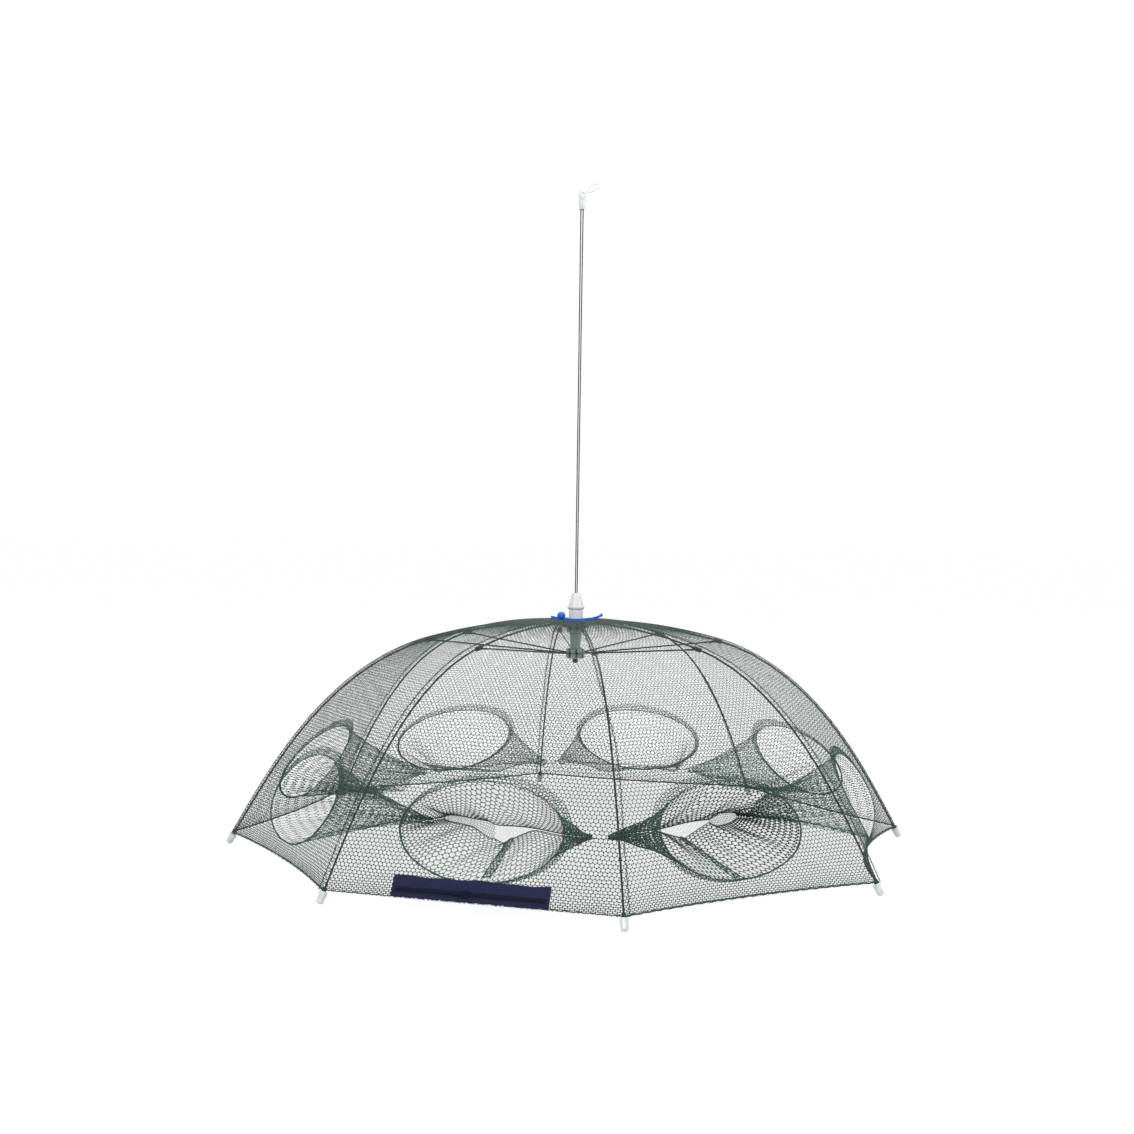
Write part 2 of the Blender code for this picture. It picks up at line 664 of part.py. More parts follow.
def strap_mesh():
    """Soft tie strap: an eye round the cap's shank, a button arm to the left and a tail to the right."""
    low = NET_CROWN_Z + NET_THICKNESS + GAP
    inner = SHANK_RADIUS + GAP
    outer = inner + STRAP_RING_WIDTH
    eye = turned(
        [(inner, low), (outer, low), (outer, low + STRAP_THICKNESS), (inner, low + STRAP_THICKNESS)],
        TURNED_SIDES,
    )
    start = inner + STRAP_RING_WIDTH / 2
    band = STRAP_ARM_THICKNESS
    lift = low + STRAP_ARM_LIFT
    left = ribbon(
        [(STRAP_LEFT_X, lift + STRAP_RISE * 0.55), (STRAP_BALL_X * 1.35, lift + STRAP_RISE * 0.25),
         (STRAP_BALL_X, lift + STRAP_RISE * 0.12), (-start, lift)],
        STRAP_ARM_WIDTH, band,
    )
    right = ribbon(
        [(start, lift), (mix(start, STRAP_RIGHT_X, 0.4), lift + STRAP_RISE * 0.15),
         (mix(start, STRAP_RIGHT_X, 0.75), lift + STRAP_RISE * 0.55), (STRAP_RIGHT_X, lift + STRAP_RISE)],
        STRAP_ARM_WIDTH * 0.8, band,
    )
    tab_top = lift + STRAP_RISE + STRAP_TAB_HEIGHT
    tab = block(
        (STRAP_RIGHT_X - band, -STRAP_ARM_WIDTH * 0.4, lift + STRAP_RISE),
        (STRAP_RIGHT_X, STRAP_ARM_WIDTH * 0.4, tab_top),
    )
    bm = bmesh.new()
    centre = Vector((STRAP_BALL_X, 0, lift + STRAP_RISE * 0.12 + STRAP_BALL_RADIUS * 0.85))
    bmesh.ops.create_uvsphere(
        bm, u_segments=12, v_segments=7, radius=STRAP_BALL_RADIUS, matrix=Matrix.Translation(centre)
    )
    ball = mesh_of(bm, "ball")
    steps = [("UNION", left), ("UNION", right), ("UNION", tab), ("UNION", ball)]
    return combined(eye, steps)


def strand(name, way):
    """One strand of the doubled cord, from under the runner up into the ferrule."""
    bottom = RUNNER_BOTTOM_Z - GAP
    curve = bpy.data.curves.new(name, "CURVE")
    curve.dimensions = "3D"
    curve.bevel_depth = STRAND_RADIUS
    curve.bevel_resolution = 2
    curve.use_fill_caps = True
    spline = curve.splines.new("POLY")
    spline.points.add(STRAND_POINTS - 1)
    for i, point in enumerate(spline.points):
        share = i / (STRAND_POINTS - 1)
        height = mix(bottom, STRAND_TOP_Z, share)
        opening = max(0.0, (height - CONE_TOP_Z) / (STRAND_TOP_Z - CONE_TOP_Z))
        side = way * mix(STRAND_SPREAD, STRAND_SPREAD_TOP, opening**3)
        point.co = (side, 0.0, height, 1.0)
    curve.materials.append(material(GREEN_CORD))
    made = bpy.data.objects.new(name, curve)
    bpy.context.collection.objects.link(made)
    return made


def knot_mesh():
    """The knot that holds the runner up on the cord."""
    bm = bmesh.new()
    squash = Matrix.Diagonal((1.0, 0.85, 0.8, 1.0))
    centre = Matrix.Translation((0, 0, RUNNER_BOTTOM_Z - 2 * GAP - KNOT_RADIUS * 0.8))
    bmesh.ops.create_uvsphere(bm, u_segments=10, v_segments=6, radius=KNOT_RADIUS, matrix=centre @ squash)
    return mesh_of(bm, "knot")


def ferrule_mesh():
    """Tapered sleeve over the cord's upper end, with a socket for the clip's stub."""
    bore = STRAND_SPREAD_TOP + STRAND_RADIUS + GAP
    top = FERRULE_BOTTOM_Z + FERRULE_HEIGHT
    profile = [
        (bore, FERRULE_BOTTOM_Z),
        (FERRULE_BOTTOM_RADIUS, FERRULE_BOTTOM_Z),
        (FERRULE_TOP_RADIUS, top),
        (bore, top),
    ]
    return turned(profile, 16)


def clip_mesh():
    """White clip: a stub in the ferrule, an eye split by a bar, and a tilted finger loop."""
    top = FERRULE_BOTTOM_Z + FERRULE_HEIGHT
    stub_radius = STRAND_SPREAD_TOP + STRAND_RADIUS
    centre = Vector((0, 0, top + GAP + CLIP_HEAD_RADIUS))
    at_head = Matrix.Translation(centre)
    head = cylinder(CLIP_HEAD_RADIUS, CLIP_HEAD_THICKNESS, 20, at_head @ to_y_axis())
    stub_top = centre.z - CLIP_HEAD_RADIUS * 0.5
    stub_low = top - CLIP_STUB_LENGTH
    stub_middle = Matrix.Translation((0, 0, (stub_top + stub_low) / 2))
    stub = cylinder(stub_radius, stub_top - stub_low, 12, stub_middle)
    tilt = at_head @ Matrix.Rotation(-CLIP_TILT, 4, "Y")
    hole = cylinder(CLIP_HOLE_RADIUS, CLIP_HEAD_THICKNESS * 2, 14, at_head @ to_y_axis())
    bar = block(
        (-CLIP_HOLE_RADIUS * 1.2, -CLIP_HEAD_THICKNESS / 4, -CLIP_BAR_WIDTH / 2),
        (CLIP_HOLE_RADIUS * 1.2, CLIP_HEAD_THICKNESS / 4, CLIP_BAR_WIDTH / 2),
    )
    bar.transform(tilt)
    loop_centre = CLIP_HEAD_RADIUS + LOOP_NECK + LOOP_HALF_LENGTH
    steps = 20
    loop_points = []
    for i in range(steps):
        turn = math.tau * i / steps
        loop_points.append(
            tilt @ Vector((loop_centre + LOOP_HALF_LENGTH * math.cos(turn), 0, LOOP_HALF_WIDTH * math.sin(turn)))
        )
    loop = swept_loop(loop_points, LOOP_RADIUS, 6)
    neck = block(
        (CLIP_HEAD_RADIUS * 0.8, -LOOP_RADIUS, -LOOP_RADIUS * 1.3),
        (CLIP_HEAD_RADIUS + LOOP_NECK + LOOP_RADIUS * 0.4, LOOP_RADIUS, LOOP_RADIUS * 1.3),
    )
    neck.transform(tilt)
    return combined(
        head, [("UNION", stub), ("DIFFERENCE", hole), ("UNION", bar), ("UNION", neck), ("UNION", loop)]
    )


def swept_loop(points, radius, sides):
    """A closed tube through points that lie in one upright plane across Y."""
    bm = bmesh.new()
    across = Vector((0, 1, 0))
    rings = []
    for i, point in enumerate(points):
        along = (points[(i + 1) % len(points)] - points[i - 1]).normalized()
        rise = across.cross(along)
        ring = []
        for k in range(sides):
            turn = math.tau * k / sides
            ring.append(bm.verts.new(point + radius * (math.cos(turn) * across + math.sin(turn) * rise)))
        rings.append(ring)
    for i, ring in enumerate(rings):
        after = rings[(i + 1) % len(rings)]
        for k in range(sides):
            n = (k + 1) % sides
            bm.faces.new((ring[k], ring[n], after[n], after[k]))
    return mesh_of(bm, "loop")


def net_over_rib(distance):
    """(radius, height) of the netting's underside where it passes over a rod."""
    out, up = rod_point(distance)
    slope = rod_slope(distance)
    return (
        PIVOT_RADIUS + out - NET_OVER_ROD * math.sin(slope),
        CROWN_Z + up + NET_OVER_ROD * math.cos(slope),
    )


def gore_width(distance):
    return 2 * net_over_rib(distance)[0] * math.sin(RIB_STEP / 2)


def scallop_of(gore):
    """How far a gore's hem is drawn in between its ribs. The zip keeps its own hem straight."""
    return 0.0 if gore == RIB_COUNT - 1 else HEM_SCALLOP


def on_gore(gore, across, distance):
    """Point on a gore's underside, across metres from its middle and distance metres down its ribs."""
    radius, height = net_over_rib(distance)
    share = 0.5 + across / gore_width(distance)
    left = facing(gore) @ Vector((radius, 0, height))
    right = facing(gore + 1) @ Vector((radius, 0, height))
    point = left.lerp(right, share)
    below_ring = (distance - RING_AT - RING_HALF_HEIGHT) / RING_ABOVE_HEM
    if below_ring > 0:
        inward = -(facing(gore + 0.5) @ Vector((1, 0, 0)))
        point += inward * scallop_of(gore) * 4 * share * (1 - share) * below_ring**2
    return point


def frame_outline():
    """Points (across share, down share) round a gore's lower part, from its upper left corner."""
    points = [(i / GORE_COLUMNS, 0.0) for i in range(GORE_COLUMNS)]
    points += [(1.0, i / GORE_SIDE_ROWS) for i in range(GORE_SIDE_ROWS)]
    points += [(1 - i / GORE_COLUMNS, 1.0) for i in range(GORE_COLUMNS)]
    points += [(0.0, 1 - i / GORE_SIDE_ROWS) for i in range(GORE_SIDE_ROWS)]
    return points


def ring_spokes():
    """(distance, across, turn) for each point of the frame and the ring point that faces it."""
    spokes = []
    for share, down in frame_outline():
        distance = mix(FRAME_AT, HEM_AT, down)
        across = gore_width(distance) * (share - 0.5)
        rise = (distance - RING_AT) / (HEM_AT - FRAME_AT)
        spokes.append((distance, across, math.atan2(rise, across / gore_width(RING_AT))))
    return spokes


def gore_faces(bm, gore):
    """One gore: a grid from the crown down to the entrance, then a frame of faces round its hole.

    Returns the faces that get an opening, which are all but those on the crown hub.
    """
    hole_radius = (SPIGOT_RADIUS + 2 * GAP) / math.cos(RIB_STEP / 2)
    rows = []
    for radius in (hole_radius, HUB_RADIUS + 2 * GAP):
        left = facing(gore) @ Vector((radius, 0, NET_CROWN_Z))
        right = facing(gore + 1) @ Vector((radius, 0, NET_CROWN_Z))
        rows.append([left.lerp(right, i / GORE_COLUMNS) for i in range(GORE_COLUMNS + 1)])
    inner = [mix(ROOT_LENGTH, BRACKET_AT, k / GORE_INNER_ROWS) for k in range(GORE_INNER_ROWS)]
    bend = [mix(BRACKET_AT, FRAME_AT, k / GORE_BEND_ROWS) for k in range(GORE_BEND_ROWS + 1)]
    for distance in inner + bend:
        width = gore_width(distance)
        rows.append(
            [on_gore(gore, width * (i / GORE_COLUMNS - 0.5), distance) for i in range(GORE_COLUMNS + 1)]
        )
    grid = [[bm.verts.new(p) for p in row] for row in rows]
    meshed = []
    for k, (upper, lower) in enumerate(zip(grid, grid[1:])):
        for i in range(GORE_COLUMNS):
            face = bm.faces.new((upper[i], upper[i + 1], lower[i + 1], lower[i]))
            if k >= GORE_CROWN_ROWS:
                meshed.append(face)
    outer, inner = [], []
    for distance, across, turn in ring_spokes():
        outer.append(bm.verts.new(on_gore(gore, across, distance)))
        ring_at = RING_AT + RING_HALF_HEIGHT * math.sin(turn)
        inner.append(bm.verts.new(on_gore(gore, RING_HALF_WIDTH * math.cos(turn), ring_at)))
    for i in range(len(outer)):
        n = (i + 1) % len(outer)
        meshed.append(bm.faces.new((outer[i], outer[n], inner[n], inner[i])))
    return meshed


def canopy_mesh():
    """All the gores, sewn together along the ribs, as one skin with an oval hole and openings in each."""
    bm = bmesh.new()
    meshed = []
    for gore in range(RIB_COUNT):
        meshed += gore_faces(bm, gore)
    bmesh.ops.remove_doubles(bm, verts=bm.verts, dist=1e-5)
    bmesh.ops.recalc_face_normals(bm, faces=bm.faces)
    bmesh.ops.inset_individual(bm, faces=meshed, thickness=NET_STRIP_WIDTH / 2, use_even_offset=True)
    bmesh.ops.delete(bm, geom=meshed, context="FACES")
    top = max(bm.faces, key=lambda face: face.calc_center_median().z)
    if top.normal.z < 0:
        bmesh.ops.reverse_faces(bm, faces=bm.faces)
    mesh = bpy.data.meshes.new("canopy sheet")
    bm.to_mesh(mesh)
    bm.free()
    return solidified(mesh, NET_THICKNESS, 1.0)


def floor_mesh():
    """The floor netting: an eight sided sheet inside the hem, a little slack in the middle."""
    hem_radius, hem_z = net_over_rib(HEM_AT)
    rod_out = PIVOT_RADIUS + rod_point(HEM_AT)[0]
    corner = rod_out - (ROD_RADIUS + 2 * GAP) / math.sin(-TIP_SLOPE) - NET_THICKNESS
    top = hem_z - NET_THICKNESS - 3 * GAP
    rim = []
    for gore in range(RIB_COUNT):
        inward = facing(gore + 0.5) @ Vector((-1, 0, 0))
        for i in range(GORE_COLUMNS):
            share = i / GORE_COLUMNS
            if i == 0:
                point = facing(gore) @ Vector((corner, 0, top))
            else:
                point = on_gore(gore, gore_width(HEM_AT) * (share - 0.5), HEM_AT)
                point += inward * (hem_radius - corner) * math.cos(RIB_STEP / 2)
                point.z = top
            rim.append(point)
    bm = bmesh.new()
    rings = []
    for k in range(FLOOR_RINGS + 1):
        share = 1 - k / (FLOOR_RINGS + 1)
        sag = FLOOR_SAG * (1 - share * share)
        rings.append([bm.verts.new((p.x * share, p.y * share, p.z - sag)) for p in rim])
    for outer, inner in zip(rings, rings[1:]):
        for i in range(len(rim)):
            n = (i + 1) % len(rim)
            bm.faces.new((outer[i], outer[n], inner[n], inner[i]))
    middle = bm.verts.new((0, 0, top - FLOOR_SAG))
    for i in range(len(rim)):
        bm.faces.new((rings[-1][i], rings[-1][(i + 1) % len(rim)], middle))
    bmesh.ops.recalc_face_normals(bm, faces=bm.faces)
    if next(iter(bm.faces)).normal.z < 0:
        bmesh.ops.reverse_faces(bm, faces=bm.faces)
    mesh = bpy.data.meshes.new("floor sheet")
    bm.to_mesh(mesh)
    bm.free()
    return solidified(mesh, NET_THICKNESS, -1.0)


def funnel_mesh(gore):
    """A net funnel from a gore's oval entrance in to its flat throat, open at both ends."""
    inset = FUNNEL_THICKNESS / 2 + GAP * 1.5
    bm = bmesh.new()
    rows = []
    for k in range(FUNNEL_ROWS + 1):
        share = k / FUNNEL_ROWS
        row = []
        for _, _, turn in ring_spokes():
            mouth = on_gore(
                gore,
                (RING_HALF_WIDTH - inset) * math.cos(turn),
                RING_AT + (RING_HALF_HEIGHT - inset) * math.sin(turn),
            )
            throat = facing(gore + 0.5) @ Vector(
                (THROAT_RADIUS, THROAT_HALF_WIDTH * math.cos(turn), THROAT_Z - THROAT_HALF_HEIGHT * math.sin(turn))
            )
            row.append(bm.verts.new(mouth.lerp(throat, share)))
        rows.append(row)
    for outer, inner in zip(rows, rows[1:]):
        for i in range(len(outer)):
            n = (i + 1) % len(outer)
            bm.faces.new((outer[i], outer[n], inner[n], inner[i]))
    mesh = mesh_of(bm, "funnel sheet")
    return solidified(mesh, FUNNEL_THICKNESS, 0.0, even=False)


def throat_cord_mesh():
    """The thin cord that ties each throat to the next, round the upper lips of all of them."""
    height = THROAT_Z + THROAT_HALF_HEIGHT + FUNNEL_THICKNESS / 2 + THROAT_CORD_RADIUS + GAP
    points = []
    for gore in range(RIB_COUNT):
        for way in (-1, 0, 1):
            lift = height if way == 0 else height - THROAT_HALF_HEIGHT * 0.4
            points.append(
                facing(gore + 0.5) @ Vector((THROAT_RADIUS - FUNNEL_THICKNESS, way * THROAT_HALF_WIDTH, lift))
            )
    return swept_tube(points, THROAT_CORD_RADIUS, 6, closed=True)


def zip_frame():
    """Frame of the zip: X along the tape, Y up the gore, Z out of the netting, origin on its underside."""
    gore = RIB_COUNT - 1
    middle_at = HEM_AT - ZIP_ABOVE_HEM - ZIP_WIDTH / 2
    middle = on_gore(gore, 0.0, middle_at)
    along = (on_gore(gore, 0.01, middle_at) - on_gore(gore, -0.01, middle_at)).normalized()
    up = (on_gore(gore, 0.0, middle_at - ZIP_WIDTH / 2) - on_gore(gore, 0.0, middle_at + ZIP_WIDTH / 2)).normalized()
    out = along.cross(up).normalized()
    middle += out * (NET_THICKNESS + 2 * GAP)
    turn = Matrix((along, up, out)).transposed().to_4x4()
    return Matrix.Translation(middle) @ turn


def zip_tape_mesh():
    """The tape with its raised chain, and a stop at each end of the chain."""
    half = ZIP_WIDTH / 2
    low = -ZIP_CHAIN_DROP - ZIP_CHAIN_WIDTH / 2
    high = -ZIP_CHAIN_DROP + ZIP_CHAIN_WIDTH / 2
    top = ZIP_TAPE_THICKNESS + ZIP_CHAIN_HEIGHT
    bevel = ZIP_CHAIN_HEIGHT / 3
    outline = [
        (-half, 0.0), (half, 0.0), (half, ZIP_TAPE_THICKNESS), (high, ZIP_TAPE_THICKNESS),
        (high, top - bevel), (high - bevel, top), (low + bevel, top), (low, top - bevel),
        (low, ZIP_TAPE_THICKNESS), (-half, ZIP_TAPE_THICKNESS),
    ]
    tape = prism(outline, ZIP_LENGTH, axis="X")
    steps = []
    for way in (-1, 1):
        end = way * (ZIP_LENGTH / 2 - ZIP_STOP_LENGTH)
        near, far = sorted((end, end - way * ZIP_STOP_LENGTH))
        stop = block(
            (near, low - GAP * 2, ZIP_TAPE_THICKNESS / 2), (far, high + GAP * 2, top + GAP * 2)
        )
        steps.append(("UNION", stop))
    return combined(tape, steps)


def slider_mesh():
    """Zip slider: a hood over the chain with a bridge on top for the pull."""
    half = SLIDER_WIDTH / 2
    inner = ZIP_CHAIN_WIDTH / 2 + GAP
    low = ZIP_TAPE_THICKNESS + GAP
    ceiling = ZIP_TAPE_THICKNESS + ZIP_CHAIN_HEIGHT + GAP
    top = ceiling + SLIDER_WALL
    corner = SLIDER_WALL * 0.6
    outline = [
        (-half, low), (-inner, low), (-inner, ceiling), (inner, ceiling), (inner, low), (half, low),
        (half, top - corner), (half - corner, top), (-half + corner, top), (-half, top - corner),
    ]
    hood = prism(outline, SLIDER_LENGTH, axis="X")
    bridge_half = BRIDGE_LENGTH / 2
    bridge = prism(
        [
            (-bridge_half, top - corner / 2), (-bridge_half, top + BRIDGE_HEIGHT - BRIDGE_BAR / 2),
            (-bridge_half + BRIDGE_BAR / 2, top + BRIDGE_HEIGHT),
            (bridge_half - BRIDGE_BAR / 2, top + BRIDGE_HEIGHT),
            (bridge_half, top + BRIDGE_HEIGHT - BRIDGE_BAR / 2), (bridge_half, top - corner / 2),
            (bridge_half - BRIDGE_BAR, top - corner / 2),
            (bridge_half - BRIDGE_BAR, top + BRIDGE_HEIGHT - BRIDGE_BAR),
            (-bridge_half + BRIDGE_BAR, top + BRIDGE_HEIGHT - BRIDGE_BAR),
            (-bridge_half + BRIDGE_BAR, top - corner / 2),
        ],
        BRIDGE_BAR,
    )
    return combined(hood, [("UNION", bridge)])


def pull_pivot():
    """The pull's hinge line in the zip's frame: its bar, just inside the left post of the bridge."""
    top = ZIP_TAPE_THICKNESS + ZIP_CHAIN_HEIGHT + GAP + SLIDER_WALL
    across = SLIDER_AT - BRIDGE_LENGTH / 2 + BRIDGE_BAR + GAP + PULL_THICKNESS / 2
    return Vector((across, -ZIP_CHAIN_DROP, top + (BRIDGE_HEIGHT - BRIDGE_BAR) / 2))


def pull_mesh():
    """The pull: a bar under the bridge, two arms past its left post, and a flat tab along -X."""
    bar = PULL_THICKNESS / 2
    side = BRIDGE_BAR / 2 + GAP
    to_far_post = BRIDGE_LENGTH - BRIDGE_BAR - GAP - bar
    reach = math.hypot(to_far_post, (BRIDGE_HEIGHT + BRIDGE_BAR) / 2) + GAP
    half = PULL_WIDTH / 2
    arm = side + PULL_ARM
    outline = [
        (bar, -arm), (bar, arm), (-reach, arm), (-PULL_LENGTH + half * 0.6, half),
        (-PULL_LENGTH, half * 0.5), (-PULL_LENGTH, -half * 0.5),
        (-PULL_LENGTH + half * 0.6, -half), (-reach, -arm),
    ]
    tab = prism(outline, PULL_THICKNESS, axis="Z")
    window = block((-reach, -side, -PULL_THICKNESS), (-bar, side, PULL_THICKNESS))
    return combined(tab, [("DIFFERENCE", window)])


def build():
    clear_scene()
    rib = rib_mesh()
    cap = tip_cap_mesh()
    bracket = bracket_mesh()
    stretcher = stretcher_mesh()
    ring = wire_ring_mesh()
    for number in range(RIB_COUNT):
        label = number + 1
        hinge = facing(number) @ Matrix.Translation((PIVOT_RADIUS, 0, CROWN_Z))
        place(f"rib_{label}", rib, BLACK_ROD, hinge)
        place(f"tip_cap_{label}", cap, CLEAR_WHITE, hinge)
        place(f"rib_bracket_{label}", bracket, BLACK_PLASTIC, hinge)
        pin = hinge @ slope_frame(PIN_OUT, PIN_UP, STRETCHER_SLOPE)
        place(f"stretcher_{label}", stretcher, BLACK_ROD, pin)
        place(f"entrance_funnel_{label}", funnel_mesh(number), GREEN_NET)
    place("crown_hub", crown_hub_mesh(), SMOKY_PLASTIC)
    place("crown_cap", cap_mesh(), WHITE_PLASTIC)
    place("crown_ring_wire", ring.copy(), STEEL_WIRE, Matrix.Translation((0, 0, CROWN_Z)))
    place("tie_strap", strap_mesh(), BLUE_RUBBER)
    place("runner", runner_mesh(), SMOKY_PLASTIC)
    place("runner_ring_wire", ring, STEEL_WIRE, Matrix.Translation((0, 0, RUNNER_Z)))
    place("net_canopy", canopy_mesh(), GREEN_NET)
    place("net_floor", floor_mesh(), GREEN_NET)
    place("throat_cord", throat_cord_mesh(), GREEN_CORD)
    strand("pull_cord_left", -1)
    strand("pull_cord_right", 1)
    place("cord_knot", knot_mesh(), GREEN_CORD)
    place("cord_ferrule", ferrule_mesh(), CLEAR_WHITE)
    place("hanging_clip", clip_mesh(), WHITE_PLASTIC)
    zip_at = zip_frame()
    place("zip_tape", zip_tape_mesh(), NAVY_TAPE, zip_at)
    slider_at = zip_at @ Matrix.Translation((SLIDER_AT, -ZIP_CHAIN_DROP, 0))
    place("zip_slider", slider_mesh(), NAVY_METAL, slider_at)
    place("zip_pull", pull_mesh(), NAVY_METAL, zip_at @ Matrix.Translation(pull_pivot()))


build()
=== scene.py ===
"""Looks of the umbrella style baitfish trap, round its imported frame.

The netting is made of real threads with knots, in half gores that fold with the ribs. All sizes are
in metres. What makes one gore differ from the next is read from the photo.
"""

import math

import bpy
import numpy as np
from mathutils import Matrix, Vector


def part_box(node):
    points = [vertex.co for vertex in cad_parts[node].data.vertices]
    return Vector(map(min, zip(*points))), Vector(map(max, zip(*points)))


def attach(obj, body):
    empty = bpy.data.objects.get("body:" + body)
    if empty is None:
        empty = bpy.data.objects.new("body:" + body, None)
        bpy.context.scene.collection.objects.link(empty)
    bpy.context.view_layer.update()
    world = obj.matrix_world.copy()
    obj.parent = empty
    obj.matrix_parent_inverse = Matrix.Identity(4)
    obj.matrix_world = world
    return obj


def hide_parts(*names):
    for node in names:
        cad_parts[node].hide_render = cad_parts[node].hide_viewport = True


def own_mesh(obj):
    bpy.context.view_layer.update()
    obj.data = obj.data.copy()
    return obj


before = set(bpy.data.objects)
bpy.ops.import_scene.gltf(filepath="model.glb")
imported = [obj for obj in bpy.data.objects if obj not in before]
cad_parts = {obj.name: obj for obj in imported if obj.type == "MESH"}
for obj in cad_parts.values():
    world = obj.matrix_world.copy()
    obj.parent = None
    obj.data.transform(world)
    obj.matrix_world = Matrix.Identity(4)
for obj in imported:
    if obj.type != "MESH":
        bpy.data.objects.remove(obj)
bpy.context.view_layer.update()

UP = np.array((0.0, 0.0, 1.0))

# The trap's own sizes, as its solids have them
RIB_COUNT = 8
RIB_STEP = math.tau / RIB_COUNT
PIVOT_RADIUS = 0.0105
ROOT_LENGTH = 0.0335
INNER_LENGTH = 0.165
OUTER_LENGTH = 0.402
ROOT_SLOPE = math.radians(30)
SHOULDER_SLOPE = math.radians(-2)
BRACKET_SLOPE = math.radians(-15.5)
TIP_SLOPE = math.radians(-61)
ROD_RADIUS = 0.0013
NET_OVER_ROD = 0.0033
HEM_AT = 0.5894
RING_HALF_WIDTH = 0.099
RING_HALF_HEIGHT = 0.062
RING_ABOVE_HEM = 0.024
RING_AT = HEM_AT - RING_ABOVE_HEM - RING_HALF_HEIGHT
THROAT_RADIUS = 0.260
THROAT_Z = 0.067
THROAT_HALF = 0.097
ZIP_LENGTH = 0.190
ZIP_WIDTH = 0.025
ZIP_TAPE_THICKNESS = 0.0009
ZIP_CHAIN_WIDTH = 0.0048
ZIP_CHAIN_DROP = 0.0040
ZIP_ABOVE_HEM = 0.0005
HINGE_LOW, HINGE_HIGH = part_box("crown_ring_wire")
CROWN_Z = (HINGE_LOW[2] + HINGE_HIGH[2]) / 2

# How far each hem is drawn in between its ribs, from the photo. The zip keeps the last straight.
HEM_SCALLOPS = (0.014, 0.030, 0.014, 0.016, 0.016, 0.014, 0.012, 0.0)
# How far each ring sits to the side of its gore's middle, from the photo
RING_SHIFTS = (-0.010, 0.0, 0.0, 0.0, 0.0, 0.0, 0.0, 0.0)
# Where each throat parts, as (across, drop of the lower lip), from the photo
THROAT_OPENINGS = (
    (0.016, 0.018), (0.010, 0.012), (0.0, 0.010), (0.015, 0.009),
    (-0.012, 0.009), (0.0, 0.012), (0.020, 0.008), (-0.019, 0.020),
)
THROAT_OPEN_HALF = 0.040
# Half the gap between closed lips, and how far they wave
THROAT_LIP_HALF = 0.0012
THROAT_WAVE = 0.0012
# Half the height of the bunched netting near each end of a throat, and where it begins
THROAT_END_HALF = 0.004
THROAT_END_FROM = 0.84
THROAT_END_OVER = 0.08
# Where a front throat's lips part again behind a panel of netting, as (side, start, half height)
THROAT_PANELS = {7: (-1, 0.30, 0.004), 0: (1, 0.55, 0.007)}
THROAT_PANEL_DEEP = 0.012
# How much a front throat leans, from the photo
THROAT_TILTS = {7: -0.055, 0: 0.060}

# Netting
MESH_PITCH = 0.0055
FINE_PITCH = 0.0026
THREAD_WIDTH = 0.00048
THREAD_HEIGHT = 0.00026
KNOT_WIDTH = 0.0019
KNOT_HEIGHT = 0.0006
DOUBLED_THREAD_WIDTH = 0.0007
UNEVENNESS = 0.0006
GORE_TOP_AT = 0.016
BUNCH_ABOVE_HEM = 0.045
BUNCH_SHARE = 0.42


def mix(a, b, share):
    return a + (b - a) * share


def ramp(value, start, over):
    """Nothing up to a start, and from there to 1 over a stretch."""
    return np.clip((value - start) / over, 0, 1)


def rod_curve(steps=1200):
    """Distance, out, up and slope along a rib rod from its hinge."""
    total = ROOT_LENGTH + INNER_LENGTH + OUTER_LENGTH
    step = total / steps
    at = (np.arange(steps) + 0.5) * step
    outer = np.clip((at - ROOT_LENGTH - INNER_LENGTH) / OUTER_LENGTH, 0, 1)
    slope = np.where(
        at < ROOT_LENGTH,
        mix(ROOT_SLOPE, SHOULDER_SLOPE, at / ROOT_LENGTH),
        mix(SHOULDER_SLOPE, BRACKET_SLOPE, ramp(at, ROOT_LENGTH, INNER_LENGTH)),
    )
    slope = np.where(outer > 0, mix(BRACKET_SLOPE, TIP_SLOPE, 2 * outer - outer**2), slope)
    out = np.concatenate([[0], np.cumsum(np.cos(slope) * step)])
    up = np.concatenate([[0], np.cumsum(np.sin(slope) * step)])
    return np.linspace(0, total, steps + 1), out, up, np.concatenate([slope, slope[-1:]])


ROD_AT, ROD_OUT, ROD_UP, ROD_SLOPE = rod_curve()


def net_over_rib(distance, over=NET_OVER_ROD):
    """Radius and height of the netting over a rod, at distances along it."""
    slope = np.interp(distance, ROD_AT, ROD_SLOPE)
    radius = PIVOT_RADIUS + np.interp(distance, ROD_AT, ROD_OUT) - over * np.sin(slope)
    height = CROWN_Z + np.interp(distance, ROD_AT, ROD_UP) + over * np.cos(slope)
    return radius, height


def facing(number):
    """Out and along directions of rib or gore number. The first rib, 0, faces -Y."""
    turn = -math.pi / 2 + number * RIB_STEP
    out = np.array((math.cos(turn), math.sin(turn), 0.0))
    return out, np.array((-out[1], out[0], 0.0))


def half_width(distance):
    return net_over_rib(distance)[0] * math.sin(RIB_STEP / 2)


def drawn_in(gore, share, below_ring):
    """How far in a gore's netting sits from a straight line between its ribs."""
    return HEM_SCALLOPS[gore % RIB_COUNT] * (1 - share**2) * below_ring**2.5


def on_gore(gore, across, distance, over=NET_OVER_ROD):
    """Points of a gore's netting, by how far across from its middle and down its ribs."""
    across, distance = np.broadcast_arrays(np.asarray(across, float), np.asarray(distance, float))
    radius, height = net_over_rib(distance, over)
    out, along = facing(gore + 0.5)
    share = np.clip(across / (radius * math.sin(RIB_STEP / 2)), -1, 1)
    below_ring = np.clip((distance - RING_AT) / (HEM_AT - RING_AT), 0, 1.1)
    reach = radius * math.cos(RIB_STEP / 2) - drawn_in(gore, share, below_ring)
    return reach[..., None] * out + across[..., None] * along + height[..., None] * UP


